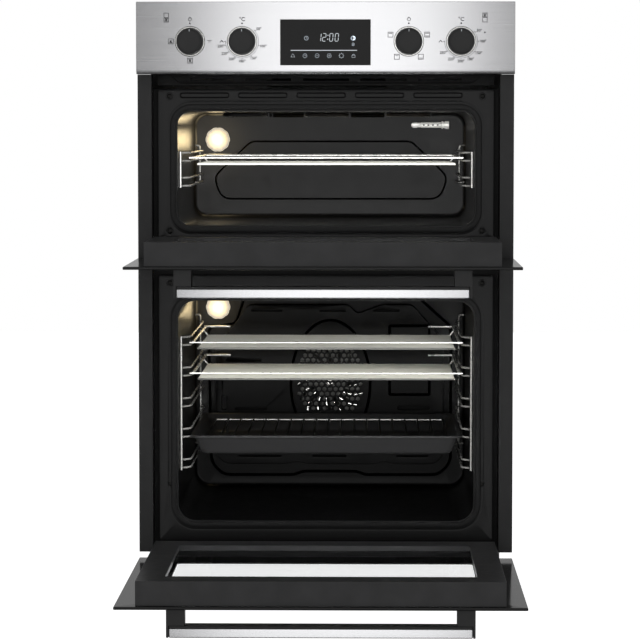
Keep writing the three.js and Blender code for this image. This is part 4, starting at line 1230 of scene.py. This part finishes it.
def make_pan():
    """A deep enamelled tray with a rolled rim and well-rounded corners."""
    node = "grill_pan"
    low, high = LOW[node], HIGH[node]
    depth = high.z - low.z
    floor = depth - 1.25
    # Each section: inwards along X and Y, corner radius, and depth under the rim.
    rim = [(1.0, 1.0, 15.0, 3.0), (0.2, 0.2, 15.8, 2.4), (0.0, 0.0, 16.0, 1.2), (0.6, 0.6, 15.4, 0.3)]
    rim += [(1.6, 1.8, 14.6, 0.0), (3.6, 4.6, 13.4, 0.1), (5.2, 6.2, 13.0, 0.9), (6.4, 7.4, 12.8, 3.0)]
    foot = [(16.2, 17.2, 12.0, depth - 5.5), (18.0, 19.0, 12.0, depth - 2.6)]
    foot += [(21.5, 22.5, 11.0, depth - 1.4), (26.0, 27.0, 10.0, floor)]
    place = lambda u, v, h: Vector((u, v, high.z + h))
    bm = bmesh.new()
    rings = []
    for dx, dy, radius, down in rim + foot:
        outline = rounded_outline(dx - high.x, high.x - dx, low.y + dy, high.y - dy, radius, 8)
        rings.append(ring_of(bm, place, outline, -down))
    loft(bm, rings)
    outlines = [rounded_outline(-150, 150, y - 8, y + 8, 7.6, 5) for y in (-110, -39, 32)]
    press(bm, rings[-1], [feature(outline, ramp(2.5, 0.8)) for outline in outlines], place, -floor)
    thicken(bm, lambda vertex: (0, 0, -1.0))
    piece("grill_pan_tray", bm, PAN_ENAMEL_PAINTED_LIGHT, node, (node,), 40)


def make_trivet():
    """Bars across two rails, on four short legs."""
    node = "trivet"
    low, high = LOW[node], HIGH[node]
    z = high.z - 1.7
    front, back = low.y + 1.7, high.y - 1.7
    pitch = 21.7
    spaces = 18
    bm = bmesh.new()
    for y in (front, back):
        wire(bm, [(1 - high.x, y, z), (high.x - 1, y, z)], 1.5)
    piece("trivet_rails", bm, RACK_WIRE, node, (node,))
    bm = bmesh.new()
    for side in (-1, 1):
        x = side * (spaces / 2 - 1) * pitch
        for y in (front + 40, back - 40):
            wire(bm, [(x, y, z), (x, y, low.z + 1.0)], 1.7)
    for i in range(spaces + 1):
        x = (i - spaces / 2) * pitch
        wire(bm, [(x, front, z), (x, back, z)], 1.6)
    piece("trivet_bars", bm, DARK_CHROME, node)


# ---- Doors ----
HINGE_Y = -282.0
HINGE_X = 251.5


def make_door_glass(level):
    """The outer glass of an open door: a black border around a clear window."""
    node = level + "_door_glass"
    low, high = LOW[node], HIGH[node]
    middle = (low.z + high.z) / 2
    half = (high.z - low.z) / 2
    place = lambda u, v, h: Vector((u, v, middle + h))
    outer = rounded_outline(low.x, high.x, low.y, high.y, 1.2, 4)
    opening = rounded_outline(-231, 231, HINGE_Y - MOUTHS[level]["window"], HINGE_Y - 54.0, 8)
    edge = [(1.0, half), (0.3, half - 0.3), (0.0, half - 1.0)]
    edge = [(distance, -height) for distance, height in edge] + edge[::-1]
    bm = bmesh.new()
    rings = [ring_of(bm, place, inset(outer, distance), height) for distance, height in edge]
    inner = [ring_of(bm, place, opening, height) for height in (-half, half)]
    loft(bm, rings)
    loft(bm, inner)
    fill(bm, [rings[0], inner[0]])
    fill(bm, [rings[-1], inner[1]])
    piece(node + "_border", bm, BLACK_GLASS, node, (node,))
    bm = bmesh.new()
    pane = [ring_of(bm, place, inset(opening, 0.05), height) for height in (-half, half)]
    loft(bm, pane)
    for ring in pane:
        bm.faces.new(ring)
    piece(node + "_window", bm, CLEAR_GLASS, node)


def make_handle(level):
    """A steel bar with a plastic backing, on two brackets."""
    bar = level + "_handle_bar"
    low, high = LOW[bar], HIGH[bar]
    joint = high.z - 3.2
    bm = bmesh.new()
    block(bm, low, (high.x, high.y, joint), 1.6, 4)
    piece(bar + "_steel", bm, STEEL, bar, (bar,))
    bm = bmesh.new()
    block(bm, (low.x + 0.4, low.y + 0.8, joint + 0.03), (high.x - 0.4, high.y - 0.8, high.z), 0.6)
    piece(bar + "_backing", bm, PLASTIC, bar)
    for side in ("left", "right"):
        rounded_copy(f"{level}_handle_bracket_{side}", PLASTIC, 1.0)


def make_door(level):
    make_door_glass(level)
    rounded_copy(level + "_door_frame", DOOR_PAINT, 0.5)
    rounded_copy(level + "_door_inner_glass", CLEAR_GLASS, 0.6)
    make_handle(level)
    bm = bmesh.new()
    for x in (-HINGE_X, HINGE_X):
        for side in (-1, 1):
            screw(bm, (x + side * 7.3, HINGE_Y, MOUTHS[level]["hinge"]), (side, 0, 0), 2.9)
    piece(level + "_hinge_pins", bm, CHROME, level + "_door_frame")


# ---- Inside the casing ----
def make_inner_parts():
    """What only shows where a cover is off: plain copies of the CAD."""
    rounded_copy("display_module", BOARD, 0.4)
    for node in ("switch_carrier", "blower_housing", "fan_motor"):
        rounded_copy(node, ZINC, 0.3)
    rounded_copy("blower_rotor", FAN_METAL, 0.2)
    for level in MOUTHS:
        for side in ("left", "right"):
            rounded_copy(f"{level}_hinge_{side}", ZINC, 0.4)


# ---- Stage, in metres ----
def area_light(name, location, target, size, power):
    light = bpy.data.lights.new(name, "AREA")
    light.shape = "RECTANGLE"
    light.size, light.size_y = size
    light.energy = power
    seat = bpy.data.objects.new(name, light)
    seat.location = location
    seat.rotation_euler = (Vector(target) - Vector(location)).to_track_quat("-Z", "Y").to_euler()
    seat.visible_camera = False
    bpy.context.scene.collection.objects.link(seat)
    return seat


def shine_on(light, materials):
    """Lets a light reach only the pieces made of some materials."""
    receivers = bpy.data.collections.new(light.name + "_receivers")
    for obj in bpy.context.scene.objects:
        if obj.type == "MESH" and obj.data.materials and obj.data.materials[0] in materials:
            receivers.objects.link(obj)
    light.light_linking.receiver_collection = receivers


def glowing_look(name, value, roughness, specular):
    """A surface that shows white by its own light."""
    glow = {"Emission_Color": (1, 1, 1, 1), "Emission_Strength": 1.0}
    return Look(name, (value, value, value), roughness, Specular_IOR_Level=specular, **glow)


def make_backdrop():
    """A pale floor well below the part and a white dome that only shows behind it."""
    look = glowing_look("pale_floor", 0.93, 0.9, 0.5)
    look.vary_color(look.noise(2.0), (0.92, 0.92, 0.92), (0.94, 0.94, 0.94))
    bm = bmesh.new()
    bmesh.ops.create_grid(bm, x_segments=4, y_segments=4, size=11.0)
    bmesh.ops.translate(bm, verts=bm.verts, vec=(0, 0, -0.45))
    floor = finish_mesh("floor", bm, look.material)
    bm = bmesh.new()
    bmesh.ops.create_icosphere(bm, subdivisions=4, radius=12.0)
    dome = finish_mesh("dome", bm, glowing_look("white_dome", 0.0, 1.0, 0.0).material)
    for obj in (floor, dome):
        obj.visible_diffuse = False
        obj.visible_glossy = False
    dome.visible_shadow = False
    dome.visible_volume_scatter = False


def make_world():
    """An even band of light around the horizon that falls off towards the top and the bottom."""
    world = bpy.data.worlds.new("studio")
    world.use_nodes = True
    tree = world.node_tree
    direction = tree.nodes.new("ShaderNodeTexCoord")
    parts = tree.nodes.new("ShaderNodeSeparateXYZ")
    height = tree.nodes.new("ShaderNodeMath")
    height.operation = "ABSOLUTE"
    fall = tree.nodes.new("ShaderNodeMapRange")
    for name, value in (("From Max", 0.8), ("To Min", 0.46), ("To Max", 0.12)):
        fall.inputs[name].default_value = value
    background = tree.nodes["Background"]
    background.inputs["Color"].default_value = (1.0, 1.0, 1.0, 1.0)
    tree.links.new(direction.outputs["Generated"], parts.inputs["Vector"])
    tree.links.new(parts.outputs["Z"], height.inputs[0])
    tree.links.new(height.outputs["Value"], fall.inputs["Value"])
    tree.links.new(fall.outputs["Result"], background.inputs["Strength"])
    bpy.context.scene.world = world


def make_lights():
    """Soft cards; all but the top one reach only the pieces made of some materials."""
    dark = (DOOR_PAINT, TRIM_PAINT, PLASTIC, KNOB_PLASTIC, BLACK_GLASS, UPPER_ENAMEL_PAINTED_LIGHT, PAN_ENAMEL_PAINTED_LIGHT)
    wires = (CHROME, SATIN_WIRE, RACK_WIRE, PROBE_METAL, FAN_METAL)
    area_light("top_card", (0, -1.9, 2.6), (0, -0.2, 0.5), (2.2, 1.2), 4)
    shine_on(area_light("front_card", (0, -4.4, 0.6), (0, 0, 0.5), (3.0, 2.4), 14), dark)
    for x in (-1.5, 1.5):
        card = area_light("side_card", (x, -2.9, 0.7), (0, 0, 0.45), (1.3, 1.9), 12)
        shine_on(card, wires + (DISC_METAL, PAN_ENAMEL_PAINTED_LIGHT))
    steel = area_light("steel_card", (0, -3.0, 0.55), (0, -0.3, 0.55), (0.66, 2.6), 10.5)
    shine_on(steel, (STEEL, RING_METAL))
    shine_on(area_light("wire_card", (0.4, -2.6, 0.95), (0, 0, 0.45), (2.4, 1.6), 170), wires)
    probe = area_light("probe_card", (0.4, -2.6, 0.95), (0, 0, 0.6), (1.2, 1.0), 120)
    shine_on(probe, (PROBE_METAL,))


def make_lamp_light(level):
    """The light that a lit lamp cover throws on the walls around it."""
    lamp = bpy.data.lights.new(level + "_lamp_light", "POINT")
    lamp.energy = 0.06
    lamp.color = (1.0, 0.78, 0.42)
    lamp.shadow_soft_size = 0.018
    seat = bpy.data.objects.new(level + "_lamp_light", lamp)
    seat.location = Vector((LAMP_X, 160.0, MOUTHS[level]["lamp"])) * MM
    seat.visible_camera = False
    bpy.context.scene.collection.objects.link(seat)


make_casing()
make_terminal()
make_casing_screws()
for oven in MOUTHS:
    make_face_plate(oven)
    make_seal(oven)
    make_lamp(oven)
    make_lamp_light(oven)
    for hand in (-1, 1):
        make_rack(oven, hand)
make_upper_cavity()
make_lower_cavity()
make_sensor()
make_grill_element()
make_fan_cover()
make_fan()
make_ring_element()
rounded_copy("control_panel", STEEL, 0.6)
make_outlet_grille()
for knob, knob_x in KNOBS.items():
    make_knob(knob, knob_x)
make_dial_print()
make_display()
make_shelf("upper_shelf", RAILS["upper"][1], True)
make_shelf("lower_shelf_top", RAILS["lower"][4], False)
make_shelf("lower_shelf_middle", RAILS["lower"][3], False)
make_pan()
make_trivet()
for oven in MOUTHS:
    make_door(oven)
make_inner_parts()
make_backdrop()
make_world()
bpy.context.scene.view_settings.view_transform = "Standard"
make_lights()
